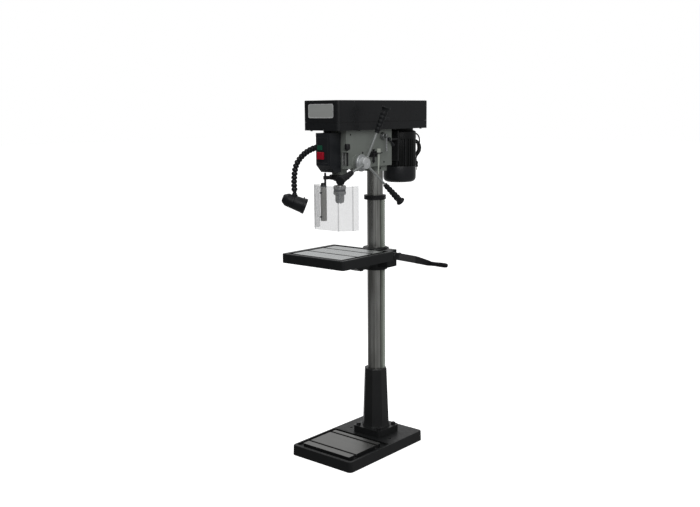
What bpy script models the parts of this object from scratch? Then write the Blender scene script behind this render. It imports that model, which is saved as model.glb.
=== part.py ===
"""Floor-standing drill press, built from its separate pieces.

Frame: origin on the column axis where the base meets the floor, +Z up,
-Y towards the operator, +X to the operator's right. Units are metres.
"""
import math
import bpy
import bmesh
from mathutils import Matrix, Vector

for _o in list(bpy.data.objects):
    bpy.data.objects.remove(_o, do_unlink=True)

# ---------------------------------------------------------------- dimensions
GAP = 0.0003                     # working gap between touching pieces

BASE_XL, BASE_X = 0.1985, 0.1844    # base, to the left and to the right of the column
BASE_Y0, BASE_Y1 = -0.4223, 0.1555
BASE_TOP = 0.0518
PAD_TOP = 0.0620                 # machined pad on the base
FOOT_TOP = 0.3950
COL_R, COL_RI = 0.0400, 0.0340
COL_TOP = 1.6000
RACK_A = math.radians(7.0)       # rack stands on the right, slightly to the rear
RACK_Z0, RACK_Z1 = 0.3965, 1.2625
RACK_PITCH = 0.00942

TABLE_XL, TABLE_X = 0.1995, 0.1908
TABLE_Y0, TABLE_Y1 = -0.4700, -0.0893
TABLE_TOP = 1.0272
TILT_Z = 0.9450                  # table tilt axis, along Y
TILT_Y = -0.1300                 # joint face between bracket and table boss
CRANK_C = (0.1300, 0.0, 0.9870)  # crank axis, along X
CRANK_TIP = (0.2000, 0.1960, 0.9295)

QUILL_Y = -0.2685                # spindle axis
PINION_Y, PINION_Z = -0.2285, 1.4575
QUILL_R = 0.0284
CHUCK_TOP, CHUCK_BOT = 1.3517, 1.2670
HEAD_X = 0.0730
HEAD_Y0, HEAD_Y1 = -0.3020, 0.0450
HEAD_Z0, HEAD_Z1 = 1.4340, 1.6107

GUARD_XL, GUARD_X = 0.1170, 0.0997  # belt guard, to the left and to the right of the spindle
GUARD_Y0, GUARD_Y1 = -0.3840, 0.3050
PAN_Z0, PAN_Z1 = 1.6110, 1.6490
LID_Z0, LID_Z1 = 1.6494, 1.7500
LID_AXIS = (-0.1220, 0.0, 1.6492)

MOTOR_Y = 0.2027
MOTOR_R = 0.0840
MOTOR_Z0, MOTOR_Z1 = 1.4205, 1.6055
FAN_Z0 = 1.3376
IDLER_Y = -0.0450

HUB_C = (0.1260, PINION_Y, PINION_Z)   # centre of the three feed spokes
SPOKE_TILT = math.radians(14.3)
SPOKE_PHI = math.radians(16.0)
SPOKE_TIP = 0.2780
GRIP_START = 0.1510

SHIELD_PIVOT = (-0.0230, -0.3450)   # pin that the chuck guard swings on
POST_C = (-0.0350, -0.3450)
SHIELD_Z0, SHIELD_Z1 = 1.1435, 1.3540
LAMP_D = Vector((math.cos(math.radians(38)) * math.cos(math.radians(21)),
                 math.sin(math.radians(38)) * math.cos(math.radians(21)),
                 -math.sin(math.radians(21))))
LAMP_C = Vector((-0.1700, -0.4000, 1.2680))    # middle of the lamp head
LAMP_PIVOT = Vector((-0.1720, -0.4000, 1.3230))

CORD_D = 0.0070
COIL_C = (-0.0055, 1.5070)       # axis of the coiled cord, along Y
COIL_RI, COIL_RO = 0.0312, 0.0458
COIL_Y0, COIL_Y1 = 0.3172, 0.3408
PLUG_C = (0.0108, 0.3290)        # the plug hangs under the coil


# ------------------------------------------------------------------- helpers
def mat(name, rgb, rough, metal=0.0):
    m = bpy.data.materials.get(name)
    if m is None:
        m = bpy.data.materials.new(name)
        m.use_nodes = True
        b = m.node_tree.nodes["Principled BSDF"]
        b.inputs["Base Color"].default_value = (*rgb, 1)
        b.inputs["Roughness"].default_value = rough
        b.inputs["Metallic"].default_value = metal
        m.diffuse_color = (*rgb, 1)
    return m


CHARCOAL = (0.016, 0.017, 0.019)
GREY = (0.48, 0.50, 0.46)
STEEL = (0.45, 0.45, 0.43)


def put(name, bm, material, origin=(0, 0, 0), smooth=35):
    """Make the object: its origin goes to `origin`, its faces point outwards."""
    bmesh.ops.remove_doubles(bm, verts=bm.verts, dist=1e-6)
    bmesh.ops.recalc_face_normals(bm, faces=bm.faces)
    bmesh.ops.translate(bm, verts=bm.verts, vec=-Vector(origin))
    me = bpy.data.meshes.new(name)
    bm.to_mesh(me)
    bm.free()
    me.materials.append(material)
    if smooth:
        me.shade_smooth()
        me.set_sharp_from_angle(angle=math.radians(smooth))
    o = bpy.data.objects.new(name, me)
    o.location = origin
    bpy.context.scene.collection.objects.link(o)
    return o


def boolean(o, cutter, op="DIFFERENCE"):
    """Join or cut `o` with a hidden wire-drawn solid."""
    cutter.hide_render = True
    cutter.display_type = "WIRE"
    cutter.name = "tool_" + o.name + "_%02d" % len(o.modifiers)
    m = o.modifiers.new(op.title(), "BOOLEAN")
    m.operation = op
    m.solver = "EXACT"
    m.object = cutter
    return o


def cut(o, *tools):
    for t in tools:
        boolean(o, put("t", t, CUT, smooth=0))
    return o


def add(o, *tools):
    for t in tools:
        boolean(o, put("t", t, CUT, smooth=0), "UNION")
    return o


CUT = mat("cutter", (0.8, 0.2, 0.2), 0.5)


def rrect(x0, y0, x1, y1, r, n=4):
    """Rounded rectangle; r is one radius or four (x0y0, x1y0, x1y1, x0y1)."""
    rs = (r,) * 4 if isinstance(r, (int, float)) else r
    out = []
    cs = ((x0, y0, 180, 1, 1), (x1, y0, 270, -1, 1), (x1, y1, 0, -1, -1), (x0, y1, 90, 1, -1))
    for (cx, cy, a0, sx, sy), rad in zip(cs, rs):
        if rad <= 0:
            out.append((cx, cy))
            continue
        for i in range(n + 1):
            a = math.radians(a0 + 90 * i / n)
            out.append((cx + sx * rad + rad * math.cos(a), cy + sy * rad + rad * math.sin(a)))
    return out


PLANES = {"Z": lambda u, v, h: (u, v, h), "X": lambda u, v, h: (h, u, v), "Y": lambda u, v, h: (u, h, v)}


def loft(bm, rings, close=True):
    """Skin a list of equal-length rings of points, with caps at both ends."""
    vs = [[bm.verts.new(p) for p in ring] for ring in rings]
    n = len(vs[0])
    for a, b in zip(vs, vs[1:]):
        for i in range(n):
            j = (i + 1) % n
            bm.faces.new((a[i], a[j], b[j], b[i]))
    if close:
        bm.faces.new(list(reversed(vs[0])))
        bm.faces.new(vs[-1])
    return bm


def prism(poly, h0, h1, plane="Z", bm=None):
    """Extrude an outline between two heights along an axis."""
    bm = bm or bmesh.new()
    f = PLANES[plane]
    return loft(bm, [[f(u, v, h0) for u, v in poly], [f(u, v, h1) for u, v in poly]])


def box(x0, y0, z0, x1, y1, z1, bm=None):
    return prism([(x0, y0), (x1, y0), (x1, y1), (x0, y1)], z0, z1, "Z", bm)


def grown(poly, d):
    """Offset a convex outline outwards by d, corner by corner."""
    out, n = [], len(poly)
    for i in range(n):
        a, b, c = Vector(poly[i - 1]), Vector(poly[i]), Vector(poly[(i + 1) % n])
        e1, e2 = (b - a).normalized(), (c - b).normalized()
        n1, n2 = Vector((e1.y, -e1.x)), Vector((e2.y, -e2.x))
        s = (n1 + n2)
        s = s / max(s.length_squared / 2, 1e-9)
        out.append((b.x + s.x * d, b.y + s.y * d))
    return out


def lathe(prof, segs=24, axis="Z", at=(0, 0, 0), ring=False, hexes=(), phase=0.0, bm=None):
    """Turn a profile of (radius, height). A ring profile closes on itself.
    Rows listed in `hexes` are hexagons (segs must be 12)."""
    bm = bm or bmesh.new()
    f = PLANES[axis]
    rows = []
    for k, (r, h) in enumerate(prof):
        if r <= 1e-9:
            rows.append([bm.verts.new(Vector(f(0, 0, h)) + Vector(at))])
            continue
        row = []
        for i in range(segs):
            a = 2 * math.pi * i / segs + phase
            rr = r / math.cos(((math.degrees(a) + 30) % 60 - 30) * math.pi / 180) if k in hexes else r
            row.append(bm.verts.new(Vector(f(rr * math.cos(a), rr * math.sin(a), h)) + Vector(at)))
        rows.append(row)
    pairs = list(zip(rows, rows[1:]))
    if ring:
        pairs.append((rows[-1], rows[0]))
    for a, b in pairs:
        if len(a) == 1 and len(b) == 1:
            continue
        for i in range(segs):
            j = (i + 1) % segs
            if len(a) == 1:
                bm.faces.new((a[0], b[j], b[i]))
            elif len(b) == 1:
                bm.faces.new((a[i], a[j], b[0]))
            else:
                bm.faces.new((a[i], a[j], b[j], b[i]))
    if not ring:
        if len(rows[0]) > 1:
            bm.faces.new(list(reversed(rows[0])))
        if len(rows[-1]) > 1:
            bm.faces.new(rows[-1])
    return bm


def cyl(r, h0, h1, segs=24, axis="Z", at=(0, 0, 0), phase=0.0):
    return lathe([(r, h0), (r, h1)], segs, axis, at, phase=phase)


def aim(bm, origin, direction, roll=0.0):
    """Turn a solid made along +Z so that it points along `direction`."""
    q = Vector(direction).to_track_quat("Z", "Y").to_matrix().to_4x4()
    bmesh.ops.transform(bm, matrix=Matrix.Translation(origin) @ q @ Matrix.Rotation(roll, 4, "Z"), verts=bm.verts)
    return bm


def catmull(pts, n):
    """Smooth curve through the points, n steps in each span."""
    p = [Vector(q) for q in pts]
    p = [2 * p[0] - p[1]] + p + [2 * p[-1] - p[-2]]
    out = []
    for i in range(1, len(p) - 2):
        for k in range(n):
            t = k / n
            a, b, c, d = p[i - 1], p[i], p[i + 1], p[i + 2]
            out.append(0.5 * (2 * b + (c - a) * t + (2 * a - 5 * b + 4 * c - d) * t * t
                              + (3 * b - a - 3 * c + d) * t ** 3))
    out.append(p[-2])
    return out


def even(pts, step):
    """Points at an even spacing along a polyline, both ends kept."""
    acc = [0.0]
    for a, b in zip(pts, pts[1:]):
        acc.append(acc[-1] + (b - a).length)
    n = max(2, round(acc[-1] / step))
    out, j = [], 0
    for i in range(n + 1):
        s = acc[-1] * i / n
        while j < len(acc) - 2 and acc[j + 1] < s:
            j += 1
        t = (s - acc[j]) / max(acc[j + 1] - acc[j], 1e-12)
        out.append(pts[j].lerp(pts[j + 1], min(1, t)))
    return out


def sweep(path, radii, segs=10, bm=None):
    """Skin circles of the given radii along a path."""
    bm = bm or bmesh.new()
    rings, ref = [], None
    for i, p in enumerate(path):
        t = (path[min(i + 1, len(path) - 1)] - path[max(i - 1, 0)]).normalized()
        if ref is None:
            ref = t.orthogonal().normalized()
        ref = (ref - t * ref.dot(t)).normalized()
        u = t.cross(ref)
        rings.append([p + (ref * math.cos(2 * math.pi * k / segs) + u * math.sin(2 * math.pi * k / segs)) * radii[i]
                      for k in range(segs)])
    return loft(bm, rings)


# ------------------------------------------------------------------ materials
M_BASE = mat("base_paint", CHARCOAL, 0.45)
M_TABLE = mat("table_paint", CHARCOAL, 0.45)
M_GUARD = mat("guard_paint", (0.018, 0.019, 0.021), 0.38)
M_HEAD = mat("head_paint", GREY, 0.5)
M_COL = mat("column_steel", STEEL, 0.3, 1.0)
M_RACK = mat("rack_steel", (0.42, 0.46, 0.40), 0.4, 0.8)
M_BLACK = mat("black_steel", (0.02, 0.02, 0.022), 0.45, 0.2)
M_BOLT = mat("bolt_steel", (0.05, 0.05, 0.055), 0.4, 0.9)
M_CHROME = mat("chrome", (0.75, 0.75, 0.76), 0.12, 1.0)
M_SILVER = mat("hub_silver", (0.62, 0.63, 0.63), 0.35, 0.9)
M_SPOKE = mat("spoke_grey", (0.55, 0.57, 0.56), 0.35, 0.7)
M_RUBBER = mat("black_rubber", (0.02, 0.022, 0.025), 0.7)
M_PLASTIC = mat("black_plastic", (0.017, 0.019, 0.023), 0.42)
M_GREEN = mat("green_button", (0.02, 0.22, 0.10), 0.4)
M_RED = mat("red_button", (0.55, 0.02, 0.03), 0.4)
M_PLATE = mat("plate_silver", (0.55, 0.57, 0.57), 0.35, 0.6)
M_CHUCK = mat("chuck_steel", (0.5, 0.49, 0.47), 0.25, 1.0)
M_PULLEY = mat("pulley_aluminium", (0.6, 0.6, 0.6), 0.4, 1.0)
M_BELT = mat("belt_rubber", (0.03, 0.03, 0.03), 0.7)
M_MOTOR = mat("motor_paint", (0.012, 0.012, 0.013), 0.45)
M_POST = mat("post_grey", (0.38, 0.37, 0.32), 0.45)
M_CLEAR = mat("clear_shield", (0.85, 0.86, 0.88), 0.1)
M_LENS = mat("lamp_glass", (0.6, 0.62, 0.62), 0.25)
M_TOOL = mat("tool_steel", (0.6, 0.6, 0.58), 0.25, 1.0)
M_CORD = mat("cord_rubber", (0.015, 0.015, 0.016), 0.55)

# ----------------------------------------------------------------------- base
outline = rrect(-BASE_XL, BASE_Y0, BASE_X, BASE_Y1, 0.018)
bm = loft(bmesh.new(), [[(x, y, z) for x, y in grown(outline, d)] for d, z in
                        ((0.002, 0.0), (0.0005, 0.0468), (-0.0010, 0.0503), (-0.0035, BASE_TOP))])
base = put("base", bm, M_BASE)
# trough round the pad, then the raised pad with its two T-slots
cut(base, prism(rrect(-0.186, -0.405, 0.172, -0.110, 0.008, 3), 0.042, 0.070))
add(base, prism(rrect(-0.150, -0.392, 0.150, -0.150, 0.004, 2), 0.036, PAD_TOP))
for y in (-0.345, -0.182):
    cut(base, prism([(y - 0.012, 0.0425), (y + 0.012, 0.0425), (y + 0.012, 0.0515), (y + 0.007, 0.0515),
                     (y + 0.007, 0.0700), (y - 0.007, 0.0700), (y - 0.007, 0.0515), (y - 0.012, 0.0515)],
                    -0.158, 0.158, "X"))
# hollow underside, with cross ribs left flush with the rim
pockets = bmesh.new()
for sx in (-1, 1):
    for y0, y1, top in ((-0.412, -0.277, 0.030), (-0.267, -0.140, 0.030), (-0.130, -0.006, 0.030),
                        (0.006, 0.145, 0.040)):
        x0, x1 = sorted((sx * 0.006, sx * 0.172))
        prism(rrect(x0, y0, x1, y1, 0.006, 1), -0.02, top, "Z", pockets)
cut(base, pockets)
holes = bmesh.new()
for sx in (-1, 1):
    lathe([(0.007, 0.02), (0.007, 0.07)], 12, "Z", (sx * 0.128, -0.047, 0), bm=holes)
    for sy in (-1, 1):
        lathe([(0.0065, 0.02), (0.0065, 0.07)], 12, "Z", (sx * 0.067, sy * 0.060, 0), bm=holes)
cut(base, holes)

# ----------------------------------------------------------- column and foot
def octagon(half, z, c=(0, 0)):
    r = half / math.cos(math.pi / 8)
    return [(c[0] + r * math.cos(math.pi / 8 + k * math.pi / 4), c[1] + r * math.sin(math.pi / 8 + k * math.pi / 4), z)
            for k in range(8)]


foot = put("column_foot", prism(rrect(-0.090, -0.083, 0.090, 0.083, 0.020, 3), BASE_TOP + GAP, 0.086), M_BASE, smooth=30)
add(foot, loft(bmesh.new(), [octagon(h, z) for h, z in ((0.069, 0.070), (0.069, 0.088), (0.0655, 0.096),
                                                        (0.0635, 0.120), (0.0540, 0.391), (0.0515, FOOT_TOP))]))
cut(foot, cyl(COL_R + 0.0004, 0.03, 0.45, 32))
holes = bmesh.new()
for sx in (-1, 1):
    for sy in (-1, 1):
        lathe([(0.0065, 0.03), (0.0065, 0.12)], 12, "Z", (sx * 0.067, sy * 0.060, 0), bm=holes)
cut(foot, holes)
k = 0
for sx in (-1, 1):
    for sy in (-1, 1):
        k += 1
        put("foot_bolt_%d" % k, lathe([(0.006, 0.0440), (0.006, 0.0863), (0.0095, 0.0863), (0.0095, 0.0970)], 12, "Z",
                                      (sx * 0.067, sy * 0.060, 0), hexes=(2, 3)), M_BOLT, smooth=30)

put("column", lathe([(COL_R, 0.0525), (COL_R, COL_TOP), (COL_RI, COL_TOP), (COL_RI, 0.0525)], 32, ring=True), M_COL)

# rack: a bar whose outer face is a row of teeth
n_teeth = int((RACK_Z1 - RACK_Z0 - 0.004) / RACK_PITCH)
prof = [(0.0404, RACK_Z0), (0.0500, RACK_Z0 + 0.0002)]
z = RACK_Z0 + 0.003
for i in range(n_teeth):
    prof += [(0.0498, z), (0.0536, z + RACK_PITCH * 0.5)]
    z += RACK_PITCH
prof += [(0.0500, RACK_Z1), (0.0404, RACK_Z1)]
bm = prism([(u, v) for u, v in prof], -0.011, 0.011, "Y")
bmesh.ops.rotate(bm, verts=bm.verts, cent=(0, 0, 0), matrix=Matrix.Rotation(RACK_A, 3, "Z"))
put("rack", bm, M_RACK, smooth=0)
put("rack_collar", lathe([(0.0550, 1.2632), (0.0550, 1.2852), (COL_R + 0.0004, 1.2852),
                          (COL_R + 0.0004, 1.2632)], 32, ring=True), M_BLACK)

# ----------------------------------------------------------------------- head
bm = prism(rrect(-HEAD_X, HEAD_Y0, HEAD_X, HEAD_Y1, (0.006, 0.006, 0.004, 0.004), 2), HEAD_Z0, HEAD_Z1)
head = put("head_casting", bm, M_HEAD, smooth=30)
add(head, cyl(0.0360, 1.3770, 1.50, 24, "Z", (0, QUILL_Y, 0)))            # quill nose
add(head, cyl(0.0600, 1.4070, 1.50, 32))                                  # clamp collar on the column
add(head, lathe([(0.0400, 0.050), (0.0400, 0.0770), (0.0370, 0.0790), (0.0370, 0.0985)], 20, "X",
                (0, PINION_Y, PINION_Z)))                                 # feed boss, right
add(head, cyl(0.0360, -0.0830, -0.05, 20, "X", (0, PINION_Y, PINION_Z)))  # spring boss, left
add(head, box(0.060, -0.3200, 1.5100, 0.0955, -0.2960, 1.5170))           # depth stop lugs
add(head, box(0.060, -0.3200, 1.4325, 0.0955, -0.2960, 1.4460))
cut(head, cyl(QUILL_R + 0.0004, 1.36, 1.65, 24, "Z", (0, QUILL_Y, 0)))
cut(head, cyl(COL_R + 0.0004, 1.39, 1.6035, 32))
cut(head, cyl(0.0112, -0.12, 0.12, 14, "X", (0, PINION_Y, PINION_Z)))
cut(head, cyl(0.0150, -0.0225, 0.0225, 14, "X", (0, PINION_Y, PINION_Z)))
cut(head, box(-0.060, -0.196, 1.500, 0.060, -0.062, 1.65))                # open core under the belt guard
cut(head, cyl(0.0045, 1.42, 1.53, 12, "Z", (0.0872, -0.3110, 0)))
for sx in (-1, 1):
    cut(head, cyl(0.0086, -0.042, 0.080, 12, "Y", (sx * 0.0550, 0, 1.5600)))

# ------------------------------------------------------------ quill and chuck
quill = put("quill", lathe([(QUILL_R, 1.3720), (QUILL_R, 1.5850), (0.0125, 1.5850), (0.0125, 1.3720)], 24,
                           at=(0, QUILL_Y, 0), ring=True), M_CHUCK)
# rack groove down the back of the quill, where the feed pinion runs
cut(quill, box(-0.0210, QUILL_Y + 0.0255, 1.3950, 0.0210, QUILL_Y + 0.05, 1.60))
# spindle, with its splined top end standing in the spindle pulley
put("spindle", lathe([(0, 1.3400), (0.0115, 1.3400), (0.0121, 1.3900), (0.0121, 1.5850), (0.0100, 1.5850),
                      (0.0100, 1.7350), (0, 1.7350)], 14, at=(0, QUILL_Y, 0)), M_CHUCK)
chuck = put("chuck_body", lathe([(0.0170, CHUCK_TOP), (0.0205, 1.3480), (0.0205, 1.3060), (0.0215, 1.3030),
                                 (0.0215, 1.2750), (0.0185, CHUCK_BOT), (0.0110, CHUCK_BOT), (0.0085, 1.3000),
                                 (0.0085, 1.3300), (0.0122, 1.3300), (0.0122, CHUCK_TOP)], 20,
                                at=(0, QUILL_Y, 0), ring=True), M_CHUCK)
put("chuck_sleeve", lathe([(0.0270, 1.3510), (0.0300, 1.3475), (0.0300, 1.3100), (0.0270, 1.3055), (0.0212, 1.3062),
                           (0.0209, 1.3510)], 20, at=(0, QUILL_Y, 0), ring=True), M_CHUCK)

# ----------------------------------------------- feed hub, dial and handwheel
put("feed_hub", lathe([(0, -0.0790), (0.0108, -0.0790), (0.0106, -0.0190), (0.0125, -0.0190), (0.0125, 0.0190),
                       (0.0108, 0.0190), (0.0108, 0.1106), (0.0280, 0.1106), (0.0280, 0.1345), (0.0262, 0.1375),
                       (0, 0.1375)], 20, "X", (0, PINION_Y, PINION_Z)), M_SILVER, HUB_C)
hub = bpy.data.objects["feed_hub"]
put("depth_dial", lathe([(0.0400, 0.0990), (0.0400, 0.1075), (0.0370, 0.1102), (0.0112, 0.1102), (0.0112, 0.0990)],
                        28, "X", (0, PINION_Y, PINION_Z), ring=True), M_SILVER, HUB_C)
spoke_holes = bmesh.new()
for i in range(3):
    a = SPOKE_PHI + i * 2 * math.pi / 3
    d = Vector((math.sin(SPOKE_TILT), math.cos(SPOKE_TILT) * math.sin(a), math.cos(SPOKE_TILT) * math.cos(a)))
    h = lathe([(0.0062, 0.0150), (0.0062, 0.0500)], 12)
    aim(h, HUB_C, d)
    cut(hub, h)
    s = lathe([(0.0045, 0.0165), (0.0055, 0.0175), (0.0055, 0.2400)], 12)
    put("feed_spoke_%d" % (i + 1), aim(s, HUB_C, d), M_SPOKE, HUB_C)
    L = SPOKE_TIP - GRIP_START
    g = [(0.0112, 0.0), (0.0118, 0.024), (0.0136, 0.034), (0.0122, 0.046), (0.0142, 0.062),
         (0.0128, 0.080), (0.0145, 0.094), (0.0190, L - 0.006), (0.0175, L), (0, L)]
    b = [(0, 0.0950), (0.0062, 0.0950), (0.0062, 0.0)]
    gb = lathe([(r, GRIP_START + h) for r, h in b + g], 12)
    put("feed_grip_%d" % (i + 1), aim(gb, HUB_C, d), M_RUBBER, HUB_C)
# return spring housing on the left side of the head
put("return_spring_cap", lathe([(0, -0.1080), (0.0300, -0.1080), (0.0330, -0.1050), (0.0330, -0.0834),
                                (0, -0.0834)], 24, "X", (0, PINION_Y, PINION_Z)), M_SILVER)

# ----------------------------------------------------------------- belt guard
corner = (0.008, 0.020, 0.006, 0.006)
outer = rrect(-GUARD_XL, GUARD_Y0, GUARD_X, GUARD_Y1, corner)
inner = grown(outer, -0.0025)
pan = put("belt_guard_pan", prism(outer, PAN_Z0, PAN_Z1), M_GUARD, smooth=30)
cut(pan, prism(inner, PAN_Z0 + 0.0025, PAN_Z1 + 0.02))
cut(pan, cyl(0.0330, PAN_Z0 - 0.02, PAN_Z1, 24, "Z", (0, QUILL_Y, 0)))
cut(pan, prism(rrect(-0.024, MOTOR_Y - 0.042, 0.024, MOTOR_Y + 0.026, 0.0235, 4), PAN_Z0 - 0.02, PAN_Z1))
for y in (-0.2190, 0.1610):
    add(pan, box(LID_AXIS[0] + 0.001, y, PAN_Z1 - 0.011, -GUARD_XL + 0.001, y + 0.030, PAN_Z1 - 0.0035))
    add(pan, cyl(0.0047, y, y + 0.030, 12, "Y", (LID_AXIS[0], 0, LID_AXIS[2])))
top = [[(x, y, z) for x, y in grown(outer, d)] for d, z in ((0, LID_Z0), (0, LID_Z1 - 0.004), (-0.0012, LID_Z1 - 0.0012),
                                                            (-0.004, LID_Z1))]
lid = put("belt_guard_lid", loft(bmesh.new(), top), M_GUARD, LID_AXIS, smooth=30)
cut(lid, prism(inner, LID_Z0 - 0.02, LID_Z1 - 0.0025))
for y in (-0.2495, 0.1305):
    add(lid, box(LID_AXIS[0] + 0.001, y, LID_Z0 + 0.0040, -GUARD_XL + 0.001, y + 0.030, LID_Z0 + 0.012))
    add(lid, cyl(0.0047, y, y + 0.030, 12, "Y", (LID_AXIS[0], 0, LID_AXIS[2])))
put("lid_latch", loft(bmesh.new(), [[(x, y, z) for y, z in rrect(-0.060 + e, 1.6560 + e, -0.014 - e, 1.6690 - e, 0.003, 2)]
                                    for x, e in ((0.1001, 0.0), (0.1040, 0.0), (0.1055, 0.0015))]),
    M_PLASTIC, (0.1001, -0.037, 1.6690))
put("nameplate", prism(rrect(-0.0880, 1.6680, 0.0670, 1.7330, 0.0060, 3), -0.3858, -0.3843, "Y"), M_PLATE)

# ------------------------------------------------------- pulleys and V-belts
STEPS = 4
STEP_H = 0.0165
PUL_Z0 = 1.6640


def cone_pulley(name, y, radii, below, bore, shaft_top=None):
    """Stepped V-pulley: radii from the lowest step to the highest."""
    prof = []
    for i, r in enumerate(radii):
        z = PUL_Z0 + i * STEP_H
        prof += [(r + 0.004, z + 0.0005), (r - 0.0035, z + 0.0060), (r - 0.0035, z + 0.0100),
                 (r + 0.004, z + STEP_H - 0.0005)]
    zt = PUL_Z0 + STEPS * STEP_H
    if bore:
        ring_prof = [(0.0160, below), (0.0160, PUL_Z0)] + prof + [(bore, zt), (bore, below)]
        return put(name, lathe(ring_prof, 20, at=(0, y, 0), ring=True), M_PULLEY, (0, y, PUL_Z0))
    lo = [(0, below), (0.0120, below), (0.0120, PUL_Z0)]
    return put(name, lathe(lo + prof + [(0.0095, zt), (0.0095, shaft_top), (0, shaft_top)], 20, at=(0, y, 0)),
               M_PULLEY, (0, y, PUL_Z0))


R_SPINDLE = (0.060, 0.050, 0.040, 0.030)
R_IDLER = (0.044, 0.054, 0.064, 0.074)
R_MOTOR = (0.056, 0.046, 0.036, 0.026)
cone_pulley("spindle_pulley", QUILL_Y, R_SPINDLE, 1.6000, 0.0105)
cone_pulley("idler_pulley", IDLER_Y, R_IDLER, 1.6141, None, 1.7360)
cone_pulley("motor_pulley", MOTOR_Y, R_MOTOR, 1.6060, None, 1.7360)


def belt(name, ya, ra, yb, rb, zc):
    """V-belt round two pulleys: a trapezoid carried round the two wraps and straights."""
    d = yb - ya
    al = math.asin((ra - rb) / d)
    pts = []
    n = 12
    # angles from +Y; tangent points at +-(90 deg - al) from the line of centres
    th = math.pi / 2 - al
    for i in range(n + 1):
        a = th + (2 * math.pi - 2 * th) * i / n  # round the far side of pulley a
        pts.append((ya, ra, a))
    for i in range(n + 1):
        a = -th + 2 * th * i / n                 # round the far side of pulley b
        pts.append((yb, rb, a))
    sec = ((0.0022, -0.0050), (0.0022, 0.0050), (-0.0028, 0.0020), (-0.0028, -0.0020))
    rings = []
    for yc, r, a in pts:
        rings.append([((r + dr) * math.sin(a), yc + (r + dr) * math.cos(a), zc + dz) for dr, dz in sec])
    bm = bmesh.new()
    vs = [[bm.verts.new(p) for p in ring] for ring in rings]
    for i in range(len(vs)):
        a, b = vs[i], vs[(i + 1) % len(vs)]
        for j in range(4):
            m = (j + 1) % 4
            bm.faces.new((a[j], a[m], b[m], b[j]))
    return put(name, bm, M_BELT)


belt("front_belt", QUILL_Y, R_SPINDLE[1], IDLER_Y, R_IDLER[1], PUL_Z0 + 1 * STEP_H + 0.0080)
belt("rear_belt", IDLER_Y, R_IDLER[2], MOTOR_Y, R_MOTOR[2], PUL_Z0 + 2 * STEP_H + 0.0080)

# ---------------------------------------------------------------------- motor
fins = 30
prof = []
for i in range(fins):
    for f, r in ((0.0, 0.0775), (0.30, 0.0775), (0.42, MOTOR_R), (0.88, MOTOR_R)):
        a = 2 * math.pi * (i + f) / fins
        prof.append((r * math.cos(a), MOTOR_Y + r * math.sin(a)))
motor = put("motor_body", prism(prof, MOTOR_Z0, MOTOR_Z1), M_MOTOR, smooth=0)
cut(motor, cyl(0.0125, 1.58, 1.65, 16, "Z", (0, MOTOR_Y, 0)))
add(motor, box(-0.0560, 0.2700, 1.5450, -0.0200, 0.3120, 1.6020))             # terminal box
cut(motor, cyl(0.0060, -0.032, 0.0, 12, "X", (0, 0.2990, 1.5850)))
put("fan_cover", lathe([(0, FAN_Z0), (0.0690, FAN_Z0), (0.0796, 1.3420), (0.0840, 1.3526), (0.0840, 1.4200),
                        (0.0820, 1.4200), (0.0820, 1.3530), (0.0680, 1.3410), (0, 1.3400)],
                       28, at=(0, MOTOR_Y, 0)), M_MOTOR)
mount = put("motor_mount", box(-0.0640, 0.1040, 1.4500, 0.0640, 0.1140, 1.6000), M_BLACK, smooth=30)
for sx in (-1, 1):
    add(mount, cyl(0.0080, -0.0200, 0.1085, 16, "Y", (sx * 0.0550, 0, 1.5600)))
add(mount, box(-0.0150, 0.110, 1.4600, 0.0150, 0.1182, 1.5900))
# belt tension lever and motor lock handle on the right of the head
lever = put("tension_lever", lathe([(0, 0.0733), (0.0185, 0.0733), (0.0185, 0.0790), (0.0150, 0.0830), (0.0150, 0.0880),
                                    (0.0100, 0.0900), (0.0100, 0.1040), (0.0080, 0.1060), (0, 0.1060)], 20, "X",
                                   (0, -0.0330, 1.5780)), M_CHROME, (0.09, -0.0330, 1.5780))
lv = lathe([(0.0050, 0.0), (0.0046, 0.045), (0.0056, 0.064), (0.0040, 0.070)], 12)
aim(lv, (0.0985, -0.0330, 1.5760), (0, 0, -1))
add(lever, lv)
knob = put("motor_lock_handle", lathe([(0, 0.0733), (0.0090, 0.0733), (0.0090, 0.0860), (0.0070, 0.0880),
                                       (0, 0.0880)], 16, "X", (0, 0.0120, 1.5620)), M_BLACK, (0.08, 0.0120, 1.5620))
kb = lathe([(0.0060, 0.0), (0.0045, 0.020), (0.0072, 0.044), (0.0050, 0.049)], 12)
aim(kb, (0.0815, 0.0120, 1.5620), (0, 0.74, -0.67))
add(knob, kb)

# --------------------------------------------------------------- switch box
Y0 = -0.3850
switch = put("switch_box", prism([(Y0, 1.6000), (Y0, 1.4510), (Y0 + 0.0345, 1.4165), (-0.3078, 1.4165),
                                  (-0.3078, 1.6000)], -0.0430, 0.0430, "X"), M_PLASTIC, smooth=30)
add(switch, box(-0.018, -0.352, 1.590, 0.004, -0.330, 1.6106))               # hanger up to the guard pan
cut(switch, prism(rrect(-0.0375, 1.4600, 0.0325, 1.5790, 0.004, 2), Y0 - 0.01, Y0 + 0.0020, "Y"))
cut(switch, prism(rrect(-0.0362, 1.5200, -0.0040, 1.5430, 0.002, 2), Y0 - 0.01, Y0 + 0.0120, "Y"))
cut(switch, prism(rrect(-0.0362, 1.4775, 0.0055, 1.5125, 0.002, 2), Y0 - 0.01, Y0 + 0.0120, "Y"))
cut(switch, cyl(0.0095, -0.06, -0.036, 12, "X", (0, -0.3600, 1.5320)))       # socket of the lamp neck
put("start_button", prism(rrect(-0.0358, 1.5204, -0.0044, 1.5426, 0.002, 2), Y0 - 0.0015, Y0 + 0.0060, "Y"),
    M_GREEN, (-0.02, Y0, 1.5315), smooth=30)
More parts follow.
